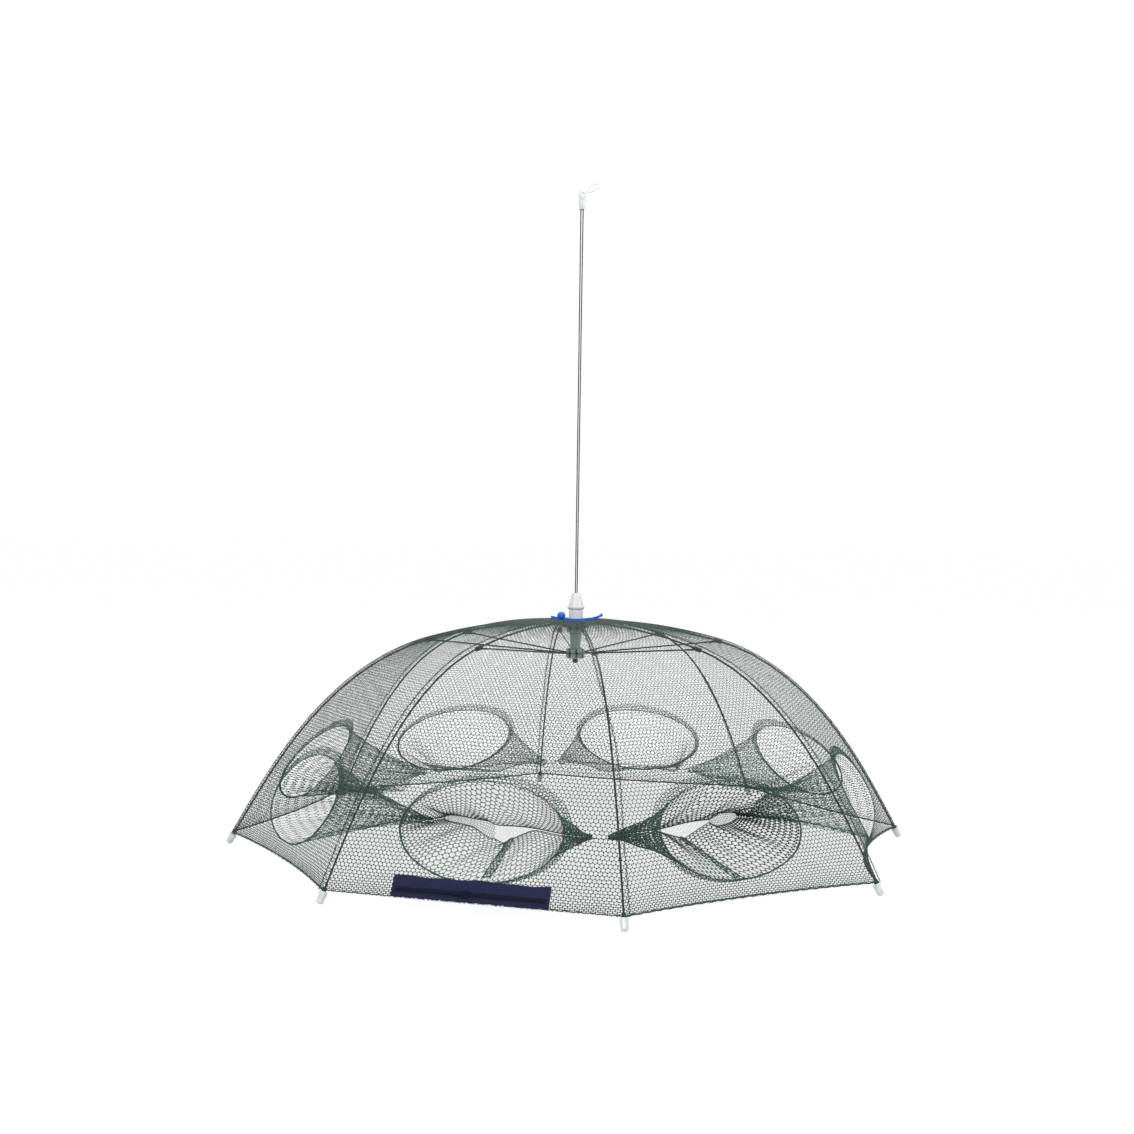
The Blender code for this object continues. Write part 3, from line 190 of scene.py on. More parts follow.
def unevenness(x, y, seed):
    """Small wander of hand-sewn netting."""
    return UNEVENNESS * np.sin(83 * x + 47 * y + seed) * np.sin(29 * y - 37 * x + 2 * seed)


def gore_halves():
    """For every half gore: its gore, its way from the middle, and the rib that carries it."""
    for gore in range(RIB_COUNT):
        yield gore, -1, gore
        yield gore, 1, gore + 1


def half_name(piece, gore, way):
    return f"{piece}_{gore + 1}_{'right' if way > 0 else 'left'}"


# Finishes


def set_inputs(node, values):
    for name, value in values.items():
        node.inputs[name].default_value = value


def math_node(nodes, operation, kind="ShaderNodeMath"):
    made = nodes.new(kind)
    made.operation = operation
    return made


def grain_group():
    """Broad mottling and fine grain, shared by every finish."""
    group = bpy.data.node_groups.new("grain", "ShaderNodeTree")
    for name, kind in (
        ("Mottling Size", "NodeSocketFloat"),
        ("Grain Size", "NodeSocketFloat"),
        ("Stretch", "NodeSocketVector"),
    ):
        group.interface.new_socket(name, in_out="INPUT", socket_type=kind)
    for name in ("Mottling", "Grain"):
        group.interface.new_socket(name, in_out="OUTPUT", socket_type="NodeSocketFloat")
    nodes, links = group.nodes, group.links
    given, result = nodes.new("NodeGroupInput"), nodes.new("NodeGroupOutput")
    place = nodes.new("ShaderNodeTexCoord")
    stretched = math_node(nodes, "MULTIPLY", "ShaderNodeVectorMath")
    links.new(place.outputs["Object"], stretched.inputs[0])
    links.new(given.outputs["Stretch"], stretched.inputs[1])
    for size, output, detail in (("Mottling Size", "Mottling", 2.0), ("Grain Size", "Grain", 1.0)):
        scale = math_node(nodes, "DIVIDE")
        scale.inputs[0].default_value = 1.0
        links.new(given.outputs[size], scale.inputs[1])
        noise = nodes.new("ShaderNodeTexNoise")
        set_inputs(noise, {"Detail": detail})
        links.new(stretched.outputs[0], noise.inputs["Vector"])
        links.new(scale.outputs[0], noise.inputs["Scale"])
        spread = nodes.new("ShaderNodeMapRange")
        set_inputs(spread, {"From Min": 0.3, "From Max": 0.7})
        links.new(noise.outputs["Fac"], spread.inputs["Value"])
        links.new(spread.outputs["Result"], result.inputs[output])
    return group


GRAIN = grain_group()


def finish(
    name, dark, light, roughness, rougher=0.1, mottling=0.02, grain=0.0006, bump=0.00003,
    stretch=(1, 1, 1), metallic=0.0, coat=0.0, specular=0.5, speckled=False,
):
    """A finish that runs from dark to light in patches, with grain in its gloss and relief."""
    made = bpy.data.materials.new(name)
    made.use_nodes = True
    nodes, links = made.node_tree.nodes, made.node_tree.links
    shader = nodes["Principled BSDF"]
    set_inputs(shader, {"Metallic": metallic, "Coat Weight": coat, "Specular IOR Level": specular})
    grained = nodes.new("ShaderNodeGroup")
    grained.node_tree = GRAIN
    set_inputs(grained, {"Mottling Size": mottling, "Grain Size": grain, "Stretch": stretch})
    shade = nodes.new("ShaderNodeValToRGB")
    low, high = shade.color_ramp.elements
    low.color, high.color = (*dark, 1), (*light, 1)
    if speckled:
        low.position, high.position = 0.60, 0.72
    links.new(grained.outputs["Mottling"], shade.inputs["Fac"])
    links.new(shade.outputs["Color"], shader.inputs["Base Color"])
    gloss = nodes.new("ShaderNodeMapRange")
    set_inputs(gloss, {"To Min": roughness, "To Max": min(1.0, roughness + rougher)})
    links.new(grained.outputs["Grain"], gloss.inputs["Value"])
    links.new(gloss.outputs["Result"], shader.inputs["Roughness"])
    relief = nodes.new("ShaderNodeBump")
    set_inputs(relief, {"Distance": bump})
    links.new(grained.outputs["Grain"], relief.inputs["Height"])
    links.new(relief.outputs["Normal"], shader.inputs["Normal"])
    return made


thread_finish = finish(
    "net twine, green", (0.022, 0.096, 0.066), (0.036, 0.128, 0.090), 0.55,
    mottling=0.05, grain=0.0004,
)
knot_finish = finish(
    "net knot, dark green", (0.004, 0.013, 0.010), (0.012, 0.028, 0.022), 0.6,
    mottling=0.03, grain=0.0004,
)
seam_finish = finish(
    "seam cord, dark green", (0.007, 0.026, 0.020), (0.022, 0.062, 0.046), 0.65,
    mottling=0.004, grain=0.0005, bump=0.0001,
)
rod_finish = finish(
    "rod, black coat", (0.006, 0.007, 0.007), (0.022, 0.025, 0.024), 0.3, 0.15,
    mottling=0.012, grain=0.0003, bump=0.00002,
)
moulding_finish = finish(
    "moulding, black", (0.008, 0.010, 0.009), (0.018, 0.021, 0.019), 0.45, 0.15, mottling=0.006
)
smoky_finish = finish(
    "moulding, smoky green", (0.33, 0.41, 0.38), (0.39, 0.47, 0.44), 0.35, 0.15, mottling=0.008
)
white_finish = finish(
    "moulding, white", (0.72, 0.72, 0.75), (0.80, 0.80, 0.81), 0.3, 0.12, mottling=0.012, coat=0.1
)
milky_finish = finish(
    "moulding, milky", (0.55, 0.60, 0.65), (0.68, 0.71, 0.74), 0.2, 0.12, mottling=0.006, coat=0.4
)
strap_finish = finish(
    "strap rubber, blue", (0.008, 0.11, 0.56), (0.020, 0.16, 0.70), 0.35, 0.2,
    mottling=0.010, bump=0.00005,
)
tape_finish = finish(
    "zip tape, navy weave", (0.010, 0.012, 0.040), (0.021, 0.024, 0.076), 0.85,
    mottling=0.0016, grain=0.0005, bump=0.00015, stretch=(1, 1, 2), specular=0.25,
)
chain_finish = finish(
    "zip chain, navy", (0.011, 0.013, 0.042), (0.022, 0.025, 0.078), 0.8,
    mottling=0.002, bump=0.00005, specular=0.2,
)
stitch_finish = finish(
    "zip stitching, near black", (0.001, 0.001, 0.004), (0.004, 0.004, 0.012), 0.8, mottling=0.002
)
slider_finish = finish(
    "zip slider, navy enamel", (0.005, 0.006, 0.022), (0.011, 0.012, 0.042), 0.7, 0.2,
    mottling=0.003, specular=0.1,
)
wire_finish = finish(
    "ring wire, steel", (0.42, 0.42, 0.41), (0.60, 0.60, 0.59), 0.25, 0.2,
    mottling=0.004, grain=0.0002, metallic=1.0,
)
cord_finish = finish(
    "pull cord, black with green", (0.005, 0.009, 0.007), (0.040, 0.130, 0.080), 0.65,
    mottling=0.003, bump=0.00025, speckled=True,
)

NODE_FINISHES = {
    "rib": rod_finish,
    "rib_bracket": moulding_finish,
    "stretcher": rod_finish,
    "tip_cap": milky_finish,
    "crown_hub": smoky_finish,
    "crown_cap": white_finish,
    "crown_ring_wire": wire_finish,
    "runner_ring_wire": wire_finish,
    "runner": smoky_finish,
    "tie_strap": strap_finish,
    "cord_knot": cord_finish,
    "cord_ferrule": milky_finish,
    "hanging_clip": white_finish,
    "zip_slider": slider_finish,
    "zip_pull": slider_finish,
}


def finish_nodes():
    """Give the solids that show as they are their finishes."""
    for name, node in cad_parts.items():
        kind = name.rstrip("_0123456789")
        if kind in NODE_FINISHES:
            node.data.materials.clear()
            node.data.materials.append(NODE_FINISHES[kind])


# Threads, knots and cords


def mesh_from(name, corners, faces, finish_of_face=None):
    """A mesh from arrays of corners and of triangles."""
    mesh = bpy.data.meshes.new(name)
    mesh.vertices.add(len(corners))
    mesh.vertices.foreach_set("co", np.ascontiguousarray(corners, np.float32).ravel())
    mesh.loops.add(faces.size)
    mesh.loops.foreach_set("vertex_index", np.ascontiguousarray(faces, np.int32).ravel())
    mesh.polygons.add(len(faces))
    mesh.polygons.foreach_set("loop_start", np.arange(0, faces.size, 3, dtype=np.int32))
    if finish_of_face is not None:
        mesh.polygons.foreach_set("material_index", np.ascontiguousarray(finish_of_face, np.int32))
    mesh.update(calc_edges=True)
    return mesh


def add_object(name, data):
    made = bpy.data.objects.new(name, data)
    bpy.context.collection.objects.link(made)
    return made


def add_piece(name, data, coats):
    """A new piece of the trap, with its finishes."""
    made = add_object(name, data)
    for coat in coats:
        data.materials.append(coat)
    return made


def unit(vectors):
    return vectors / np.linalg.norm(vectors, axis=-1, keepdims=True)


THREAD_FACES = np.array(
    [(0, 2, 1), (3, 4, 5), (0, 1, 4), (0, 4, 3), (1, 2, 5), (1, 5, 4), (2, 0, 3), (2, 3, 5)]
)
KNOT_FACES = np.array(
    [(0, 2, 4), (2, 1, 4), (1, 3, 4), (3, 0, 4), (2, 0, 5), (1, 2, 5), (3, 1, 5), (0, 3, 5)]
)
SHORTEST_THREAD = 1e-5


def repeated(faces, count):
    """The faces of count small solids of six corners each."""
    return (faces + 6 * np.arange(count)[:, None, None]).reshape(-1, 3)


def thread_prisms(starts, ends, outward, width, height):
    """Corners and faces of closed three-sided threads, wide across and rounded outward."""
    run = ends - starts
    length = np.linalg.norm(run, axis=1)
    keep = length > SHORTEST_THREAD
    starts, ends, outward = starts[keep], ends[keep], outward[keep]
    run = run[keep] / length[keep, None]
    width, height = (np.broadcast_to(size, (len(keep), 1))[keep] for size in (width, height))
    side = unit(np.cross(outward, run))
    rise = np.cross(run, side)
    starts = starts - run * width * 0.3
    ends = ends + run * width * 0.3
    low, top = rise * (-height * 0.4), rise * (height * 0.6)
    edges = (low - side * width / 2, low + side * width / 2, top)
    corners = np.stack([place + edge for place in (starts, ends) for edge in edges], axis=1)
    return corners.reshape(-1, 3), repeated(THREAD_FACES, len(starts))


def thread_piece(name, starts, ends, outward, width, height, coat):
    """A row of threads, all facing outward, as one piece."""
    facings = np.tile(outward, (len(starts), 1))
    mesh = mesh_from(name, *thread_prisms(starts, ends, facings, width, height))
    return add_piece(name, mesh, (coat,))


def knot_gems(places, along, outward, width, height):
    """Corners and faces of a small eight-sided knot at each place."""
    side = unit(np.cross(outward, along))
    run = np.cross(side, outward)
    arms = np.stack([side, -side, run, -run], axis=1) * (width / 2)
    tips = np.stack([outward, -outward], axis=1) * (height / 2)
    corners = places[:, None] + np.concatenate([arms, tips], axis=1)
    return corners.reshape(-1, 3), repeated(KNOT_FACES, len(places))


def mesh_cells(x_span, y_span, pitch):
    """The four corners on the right side of each cell of a six-sided mesh over a flat area."""
    row = pitch * math.sqrt(3) / 2
    columns = np.arange(math.floor(x_span[0] / pitch) - 1, math.ceil(x_span[1] / pitch) + 2)
    rows = np.arange(math.floor(y_span[0] / row) - 1, math.ceil(y_span[1] / row) + 2)
    i, j = np.meshgrid(columns, rows)
    centre = np.stack([(i + (j % 2) * 0.5) * pitch, j * row], axis=-1).reshape(-1, 1, 2)
    turn = np.radians([90, 30, -30, -90])
    return centre + np.stack([np.cos(turn), np.sin(turn)], axis=-1) * pitch / math.sqrt(3)


def clipped(starts, ends, inside):
    """Threads cut where inside(points) turns negative."""
    a, b = inside(starts), inside(ends)
    keep = (a > 0) | (b > 0)
    starts, ends, a, b = starts[keep], ends[keep], a[keep], b[keep]
    cut = (a / np.where(a == b, 1, a - b))[:, None]
    meet = starts + (ends - starts) * np.clip(cut, 0, 1)
    return np.where((a > 0)[:, None], starts, meet), np.where((b > 0)[:, None], ends, meet)


def strip(surface, half, deep):
    """The shape of netting in a strip: half to either side of its middle, and deep."""

    def inside(flat):
        return np.min((half - np.abs(flat[:, 0]), flat[:, 1], deep - flat[:, 1]), axis=0)

    return surface, (-half, half), (0, deep), inside


def surface_frame(surface, flat):
    """Places on a surface(x, y), with the directions along x and outward."""
    step = 1e-4
    x, y = flat[:, 0], flat[:, 1]
    here = surface(x, y)
    along = surface(x + step, y) - here
    return here, unit(along), unit(np.cross(along, surface(x, y + step) - here))


def net_piece(
    name, surface, x_span, y_span, inside, pitch=MESH_PITCH,
    width=THREAD_WIDTH, height=THREAD_HEIGHT, knots=True, weight=None,
):
    """Netting of threads and knots on a surface(x, y), where inside(points) is positive.

    The weight, if given, says how heavy the twine is at each point, as a share of the width.
    """
    cells = mesh_cells(x_span, y_span, pitch)
    starts, ends = clipped(cells[:, :-1].reshape(-1, 2), cells[:, 1:].reshape(-1, 2), inside)
    middles = (starts + ends) / 2
    _, _, outward = surface_frame(surface, middles)
    heavy = np.ones(len(middles)) if weight is None else weight(middles)
    corners, faces = thread_prisms(
        surface(starts[:, 0], starts[:, 1]), surface(ends[:, 0], ends[:, 1]), outward,
        width * heavy[:, None], height * heavy[:, None],
    )
    finish_of_face = np.zeros(len(faces))
    if knots:
        flat = cells[:, :2].reshape(-1, 2)
        flat = flat[inside(flat) > 0]
        heavy = np.ones((len(flat), 1, 1)) if weight is None else weight(flat)[:, None, None]
        gem_corners, gem_faces = knot_gems(
            *surface_frame(surface, flat), KNOT_WIDTH * heavy, KNOT_HEIGHT * heavy
        )
        faces = np.concatenate([faces, gem_faces + len(corners)])
        corners = np.concatenate([corners, gem_corners])
        finish_of_face = np.concatenate([finish_of_face, np.ones(len(gem_faces))])
    mesh = mesh_from(name, corners, faces, finish_of_face)
    return add_piece(name, mesh, (thread_finish, knot_finish))


def tube(name, points, radius, coat, sides=6):
    """A round cord through points, as a closed mesh tube with pointed ends."""
    points = np.asarray(points, float)
    along = unit(np.gradient(points, axis=0))
    guide = UP if np.abs(along[:, 2]).mean() < 0.8 else np.array((1.0, 0.0, 0.0))
    side = unit(np.cross(along, guide))
    rise = np.cross(side, along)
    turn = np.arange(sides) * math.tau / sides
    rings = points[:, None] + radius * (
        np.cos(turn)[None, :, None] * side[:, None] + np.sin(turn)[None, :, None] * rise[:, None]
    )
    ring = np.arange(sides)
    after = (ring + 1) % sides
    base = (np.arange(len(points) - 1) * sides)[:, None]
    beyond = base + sides
    first, last = len(points) * sides, len(points) * sides + 1
    end = (len(points) - 1) * sides
    faces = np.concatenate(
        [
            np.stack([base + ring, beyond + ring, beyond + after], axis=-1).reshape(-1, 3),
            np.stack([base + ring, beyond + after, base + after], axis=-1).reshape(-1, 3),
            np.stack([np.full(sides, first), ring, after], axis=-1),
            np.stack([np.full(sides, last), end + after, end + ring], axis=-1),
        ]
    )
    corners = np.concatenate([rings.reshape(-1, 3), points[:1], points[-1:]])
    mesh = mesh_from(name, corners, faces)
    mesh.shade_smooth()
    return add_piece(name, mesh, (coat,))


SEWN_CORD_RADIUS = 0.0006
THIN_CORD_RADIUS = 0.0005


def seam_tube(name, points, radius):
    return tube(name, points, radius, seam_finish)


def rib_name(number):
    return f"rib_{number % RIB_COUNT + 1}"


def fold_to_rib(piece, number):
    """Let a piece ride on a rib."""
    _, along = facing(number)
    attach(piece, rib_name(number))
    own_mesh(piece)
    return piece


def folding_net(name, node, rib, *shape, **twine):
    """Netting that stands for a solid and rides on a rib."""
    piece = net_piece(name, *shape, **twine)
    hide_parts(node)
    fold_to_rib(piece, rib)


def folding_cord(name, points, radius, rib):
    """A sewn cord that rides on a rib."""
    return fold_to_rib(seam_tube(name, points, radius), rib)


# Canopy

CROWN_GATHER_SHARE = 0.55
CROWN_GATHER_FROM = 0.02
CROWN_GATHER_OVER = 0.16


def gather(distance):
    """How much of its width a gore's netting keeps, which is least at the crown."""
    return mix(CROWN_GATHER_SHARE, 1.0, ramp(distance, CROWN_GATHER_FROM, CROWN_GATHER_OVER))


# Length of the netting bunched into the last stretch above the hem, row by row closer
BUNCHED_LENGTH = 2 * BUNCH_ABOVE_HEM / (1 + BUNCH_SHARE)
ROWS_TO_HEM = HEM_AT - BUNCH_ABOVE_HEM + BUNCHED_LENGTH


def down_gore(counted):
    """Distance down the ribs of netting counted from the crown. It is bunched above the hem."""
    bunched = np.clip(counted - (HEM_AT - BUNCH_ABOVE_HEM), 0, None)
    return counted - bunched**2 * (1 - BUNCH_SHARE) / (2 * BUNCHED_LENGTH)


def gore_place(gore, x, y):
    """Where netting cut at (x, y) lies: across and distance down its gore."""
    distance = down_gore(y)
    return x * gather(distance) + unevenness(x, y, gore), distance + unevenness(y, x, gore + 3)


def in_ring(gore, across, distance):
    """Negative inside a gore's oval entrance, in metres or so from its edge."""
    from_middle = np.hypot(
        (across - RING_SHIFTS[gore]) / RING_HALF_WIDTH, (distance - RING_AT) / RING_HALF_HEIGHT
    )
    return (from_middle - 1) * RING_HALF_HEIGHT


# How heavy each gore's twine looks, from the photo
CANOPY_WEIGHTS = (1.04, 1.0, 1.0, 1.0, 1.0, 1.25, 1.35, 1.12)
# The share of that in stretched and in slack netting, and where it changes
STRETCHED_WEIGHT = 0.72
SLACK_WEIGHT = 1.05
SLACK_FROM = 0.12
SLACK_OVER = 0.38
# What is added where it is bunched round the crown, and where that ends
BUNCHED_WEIGHT = 0.9
BUNCHED_TO = 0.05
BUNCHED_OVER = 0.14


def canopy_weight(gore, flat):
    """The canopy's twine is bunched round the crown, stretched thin below it and slack lower."""
    spread = mix(STRETCHED_WEIGHT, SLACK_WEIGHT, ramp(flat[:, 1], SLACK_FROM, SLACK_OVER))
    bunched = mix(BUNCHED_WEIGHT, 0.0, ramp(flat[:, 1], BUNCHED_TO, BUNCHED_OVER))
    return CANOPY_WEIGHTS[gore] * (spread + bunched)


def canopy_net():
    """The netting over the ribs, in half gores, each with half of an oval entrance."""
    wide = half_width(HEM_AT)
    for gore, way, rib in gore_halves():

        def inside(flat, gore=gore, way=way):
            across, distance = gore_place(gore, flat[:, 0], flat[:, 1])
            limits = (
                across * way, half_width(distance) - np.abs(across), HEM_AT - distance,
                distance - GORE_TOP_AT, in_ring(gore, across, distance),
            )
            return np.min(limits, axis=0)

        def surface(x, y, gore=gore):
            return on_gore(gore, *gore_place(gore, x, y))

        span = (0, wide) if way > 0 else (-wide, 0)
        folding_net(
            half_name("net_gore", gore, way), "net_canopy", rib,
            surface, span, (GORE_TOP_AT, ROWS_TO_HEM), inside,
            weight=lambda flat, gore=gore: canopy_weight(gore, flat),
        )


CROWN_NET_INNER = 0.0105
CROWN_NET_OUTER = 0.036
CROWN_CRUMPLE = 0.0006
HUB_TOP = CROWN_Z + 0.0086
HUB_SHOULDER = HUB_TOP - 0.004


def crown_net():
    """The gathered netting round the crown, in two crumpled layers."""
    gore_top_radius = net_over_rib(GORE_TOP_AT)[0]
    span = (-CROWN_NET_OUTER, CROWN_NET_OUTER)
    for layer, (turned_by, lift) in enumerate(((0.0, 0.0), (0.5, 0.0008))):

        def surface(x, y, turned_by=turned_by, lift=lift):
            radius = np.hypot(x, y)
            angle = np.arctan2(y, x)
            crumple = CROWN_CRUMPLE * np.sin(24 * angle + 90 * radius)
            rib_height = np.interp(radius, ROD_OUT + PIVOT_RADIUS, ROD_UP) + CROWN_Z + NET_OVER_ROD
            over_rib = np.maximum(rib_height, HUB_SHOULDER)
            height = np.where(radius < gore_top_radius, HUB_TOP, over_rib) + crumple + lift
            cos, sin = math.cos(turned_by), math.sin(turned_by)
            return np.stack([x * cos - y * sin, x * sin + y * cos, height], axis=-1)

        def inside(flat):
            radius = np.hypot(flat[:, 0], flat[:, 1])
            return np.minimum(radius - CROWN_NET_INNER, CROWN_NET_OUTER - radius)

        piece = net_piece(
            f"crown_net_{layer + 1}", surface, span, span, inside, pitch=FINE_PITCH, knots=False
        )
        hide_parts("net_canopy")
        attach(piece, "crown")


# Rings, funnels and floor


def on_ring(gore, turn, margin=0.0, over=NET_OVER_ROD):
    """Points round a gore's entrance, by the angle round it, with a margin outside its edge."""
    across = RING_SHIFTS[gore] + (RING_HALF_WIDTH + margin) * np.cos(turn)
    return on_gore(gore, across, RING_AT + (RING_HALF_HEIGHT + margin) * np.sin(turn), over)


RING_BAND = 0.013
BAND_NARROW_SHARE = 0.10
RING_BAND_PITCH = 0.0042
BAND_THREAD_HEIGHT = 0.0006
RING_BAND_LIFT = 0.0006
RING_CORD_LIFT = 0.0005
RING_CORD_RADIUS = 0.00048
RING_MEAN_RADIUS = 0.082
# Where round each ring its band is widest, from the photo. A negative angle is above the middle.
BAND_WIDEST = tuple(math.radians(a) for a in (-140, -90, -60, -90, -110, -80, -90, -50))


def band_share(gore, turn):
    """How much of its width a ring's band keeps at an angle round it."""
    near_widest = (1 + np.cos(turn - BAND_WIDEST[gore])) / 2
    return mix(BAND_NARROW_SHARE, 1.0, near_widest**1.5)


def ring_bands():
    """The doubled strip of netting sewn round each entrance, with a cord along its inner edge."""
    quarter = RING_MEAN_RADIUS * math.pi / 2
    for gore, way, rib in gore_halves():
        middle = 0 if way > 0 else math.pi

        def surface(x, y, gore=gore, middle=middle):
            turn = middle + x / RING_MEAN_RADIUS
            margin = y * band_share(gore, turn) + unevenness(x, y, gore)
            return on_ring(gore, turn, margin, NET_OVER_ROD + RING_BAND_LIFT)

        folding_net(
            half_name("ring_band", gore, way), "net_canopy", rib,
            *strip(surface, quarter, RING_BAND),
            pitch=RING_BAND_PITCH, width=DOUBLED_THREAD_WIDTH, height=BAND_THREAD_HEIGHT,
        )
        turn = middle + np.linspace(-math.pi / 2, math.pi / 2, 90)
        wavy = 0.0006 * np.sin(23 * turn + gore) + 0.0004 * np.sin(57 * turn + 2 * gore)
        edge = on_ring(gore, turn, wavy, NET_OVER_ROD + RING_CORD_LIFT)
        folding_cord(half_name("ring_cord", gore, way), edge, RING_CORD_RADIUS, rib)


def throat_point(gore, turn):
    """Across and lift from the throat's middle. The lips meet at its ends and part in between."""
    across = THROAT_HALF * np.cos(turn)
    which = gore % RIB_COUNT
    open_at, drop = THROAT_OPENINGS[which]
    open_share = np.clip(1 - np.abs(across - open_at) / THROAT_OPEN_HALF, 0, 1)
    side, start, panel_half = THROAT_PANELS.get(which, (0, 0, 0))
    on_panel = across * side > 0
    begins = np.where(on_panel, start, THROAT_END_FROM)
    end_half = np.where(on_panel, panel_half, THROAT_END_HALF)
    out_share = np.abs(across) / THROAT_HALF
    bunched = end_half * ramp(out_share, begins, THROAT_END_OVER)
    half = THROAT_LIP_HALF + bunched * np.sqrt(np.clip(1 - out_share**8, 0, 1))
    lift = np.where(np.sin(turn) > 0, -drop * open_share - half, half)
    tilt = THROAT_TILTS.get(which, 0.0) * across
    return across, lift + tilt + THROAT_WAVE * np.sin(61 * across + gore)


def throat_line(gore, turn):
    """Points round a throat's lips. The lower lip's angles are positive."""
    out, along = facing(gore + 0.5)
    across, lift = throat_point(gore, turn)
    return THROAT_RADIUS * out + across[..., None] * along + (THROAT_Z + lift)[..., None] * UP


THROAT_STRING_SLACK = 0.001


def throat_strings():
    """The short strings that tie each throat's end to the next one's, past each rib."""
    for number in range(RIB_COUNT):
        start = throat_line(number - 1, np.zeros(1))[0]
        end = throat_line(number, np.full(1, math.pi))[0]
        share = np.linspace(0, 1, 12)[:, None]
        slack = THROAT_STRING_SLACK * np.sin(math.pi * share) * UP
        points = mix(start, end, share) - slack
        name = f"throat_string_{number + 1}"
        string = folding_cord(name, points, THIN_CORD_RADIUS, number)
        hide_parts("throat_cord")


FUNNEL_RIPPLE = 0.0016
FUNNEL_SAG = 0.005
FUNNEL_EASE = 0.10


def gathered(turn):
    """The angle round the throat that netting at an angle round the mouth is drawn to.

    Below the lip the sides are gathered into the throat's ends, so the middle's netting fans out.
    """
    below = np.arcsin(np.clip(np.sin(turn), -1, 1)) / (math.pi / 2)
    drawn = np.where(below > 0, np.abs(below) ** 0.8, below) * math.pi / 2
    return np.where(np.cos(turn) < 0, math.pi - drawn, drawn)


def on_funnel(gore, turn, depth):
    """Points of a funnel, by the angle round its mouth and the share of the way to the throat."""
    mouth, throat = on_ring(gore, turn), throat_line(gore, gathered(turn))
    middle = np.sin(math.pi * np.clip(depth, 0, 1))
    eased = np.clip(depth + FUNNEL_EASE * middle, 0, 1)[..., None]
    waves = np.sin(11 * turn + gore) + 0.6 * np.sin(19 * turn + 5 * depth + 2 * gore)
    ripple = FUNNEL_RIPPLE * waves
    lift = middle * (ripple - FUNNEL_SAG * np.clip(-np.sin(turn), 0, 1) ** 2)
    return mouth + (throat - mouth) * eased + lift[..., None] * UP


FUNNEL_AROUND = 0.51
FUNNEL_DEEP = 0.072
# How heavy each funnel's twine looks, as a share of the canopy's, from the photo
FUNNEL_WEIGHTS = (2.1, 1.1, 1.15, 1.1, 1.1, 1.2, 1.25, 1.8)


def funnels():
    """The netting from each entrance in to its throat, in halves, with a cord along the lips."""
    quarter = FUNNEL_AROUND / 4
    for gore, way, rib in gore_halves():
        # half round the mouth, centred on the side that faces the rib
        middle = 0 if way > 0 else math.pi

        def surface(x, y, gore=gore, middle=middle):
            turn = middle + (x + unevenness(x, y, gore + 5)) / FUNNEL_AROUND * math.tau
            return on_funnel(gore, turn, np.clip(y / FUNNEL_DEEP, 0, 1))

        folding_net(
            half_name("funnel_net", gore, way), f"entrance_funnel_{gore + 1}", rib,
            *strip(surface, quarter, FUNNEL_DEEP),
            weight=lambda flat, gore=gore: np.full(len(flat), FUNNEL_WEIGHTS[gore]),
        )
        lips = throat_line(gore, middle + np.linspace(-math.pi / 2, math.pi / 2, 50))
        folding_cord(half_name("throat_lip", gore, way), lips, SEWN_CORD_RADIUS, rib)


def throat_panels():
    """The netting that closes the far end of each front throat."""
    end = 0.995 * THROAT_HALF
    for gore, (side, start, _) in THROAT_PANELS.items():
        rib = gore + 1 if side > 0 else gore

        def surface(x, y, gore=gore):
            turn = np.arccos(np.clip(x / THROAT_HALF, -1, 1))
            up_share = (y / THROAT_PANEL_DEEP)[:, None]
            return mix(throat_line(gore, turn), throat_line(gore, -turn), up_share)

        def inside(flat, side=side, start=start):
            outward = flat[:, 0] * side
            limits = (
                outward - start * THROAT_HALF, end - outward,
                flat[:, 1], THROAT_PANEL_DEEP - flat[:, 1],
            )
            return np.min(limits, axis=0)

        folding_net(
            f"throat_panel_{gore + 1}", f"entrance_funnel_{gore + 1}", rib,
            surface, (-THROAT_HALF, THROAT_HALF), (0, THROAT_PANEL_DEEP), inside,
            pitch=FINE_PITCH, knots=False,
        )


# Bunched pleats on the two front funnels, as (gore, angle at the ring, angle at the throat, start)
PLEATS = ((7, 1.44, 1.68, 0.06), (0, 1.60, 1.42, 0.0))
PLEAT_WIDTH = 0.010
PLEAT_RADIUS = 0.09
PLEAT_RIDGE = 0.002
PLEAT_PITCH = 0.0038
PLEAT_THREAD_WIDTH = 0.0017
PLEAT_THREAD_HEIGHT = 0.0008
PLEAT_EDGE_WAVE = 0.0006


def pleats():
    """A ridge of bunched netting down each front funnel, with a cord along both its edges."""
    half = PLEAT_WIDTH / 2
    down = np.linspace(0, FUNNEL_DEEP, 40)
    for gore, ring_turn, throat_turn, start in PLEATS:

        def surface(x, y, gore=gore, ring_turn=ring_turn, throat_turn=throat_turn, start=start):
            depth = mix(start, 1.0, y / FUNNEL_DEEP)
            turn = mix(ring_turn, throat_turn, depth) + x / PLEAT_RADIUS
            ridge = PLEAT_RIDGE * (1 - (2 * x / PLEAT_WIDTH) ** 2)
            return on_funnel(gore, turn, depth) + ridge[..., None] * UP

        folding_net(
            f"funnel_pleat_{gore + 1}", f"entrance_funnel_{gore + 1}", gore,
            *strip(surface, half, FUNNEL_DEEP),
            pitch=PLEAT_PITCH, width=PLEAT_THREAD_WIDTH, height=PLEAT_THREAD_HEIGHT, knots=False,
        )
        for edge_name, side in (("left", -1), ("right", 1)):
            across = np.full(len(down), side * half) + PLEAT_EDGE_WAVE * np.sin(240 * down)
            name = f"pleat_edge_{edge_name}_{gore + 1}"
            folding_cord(name, surface(across, down), THIN_CORD_RADIUS, gore)


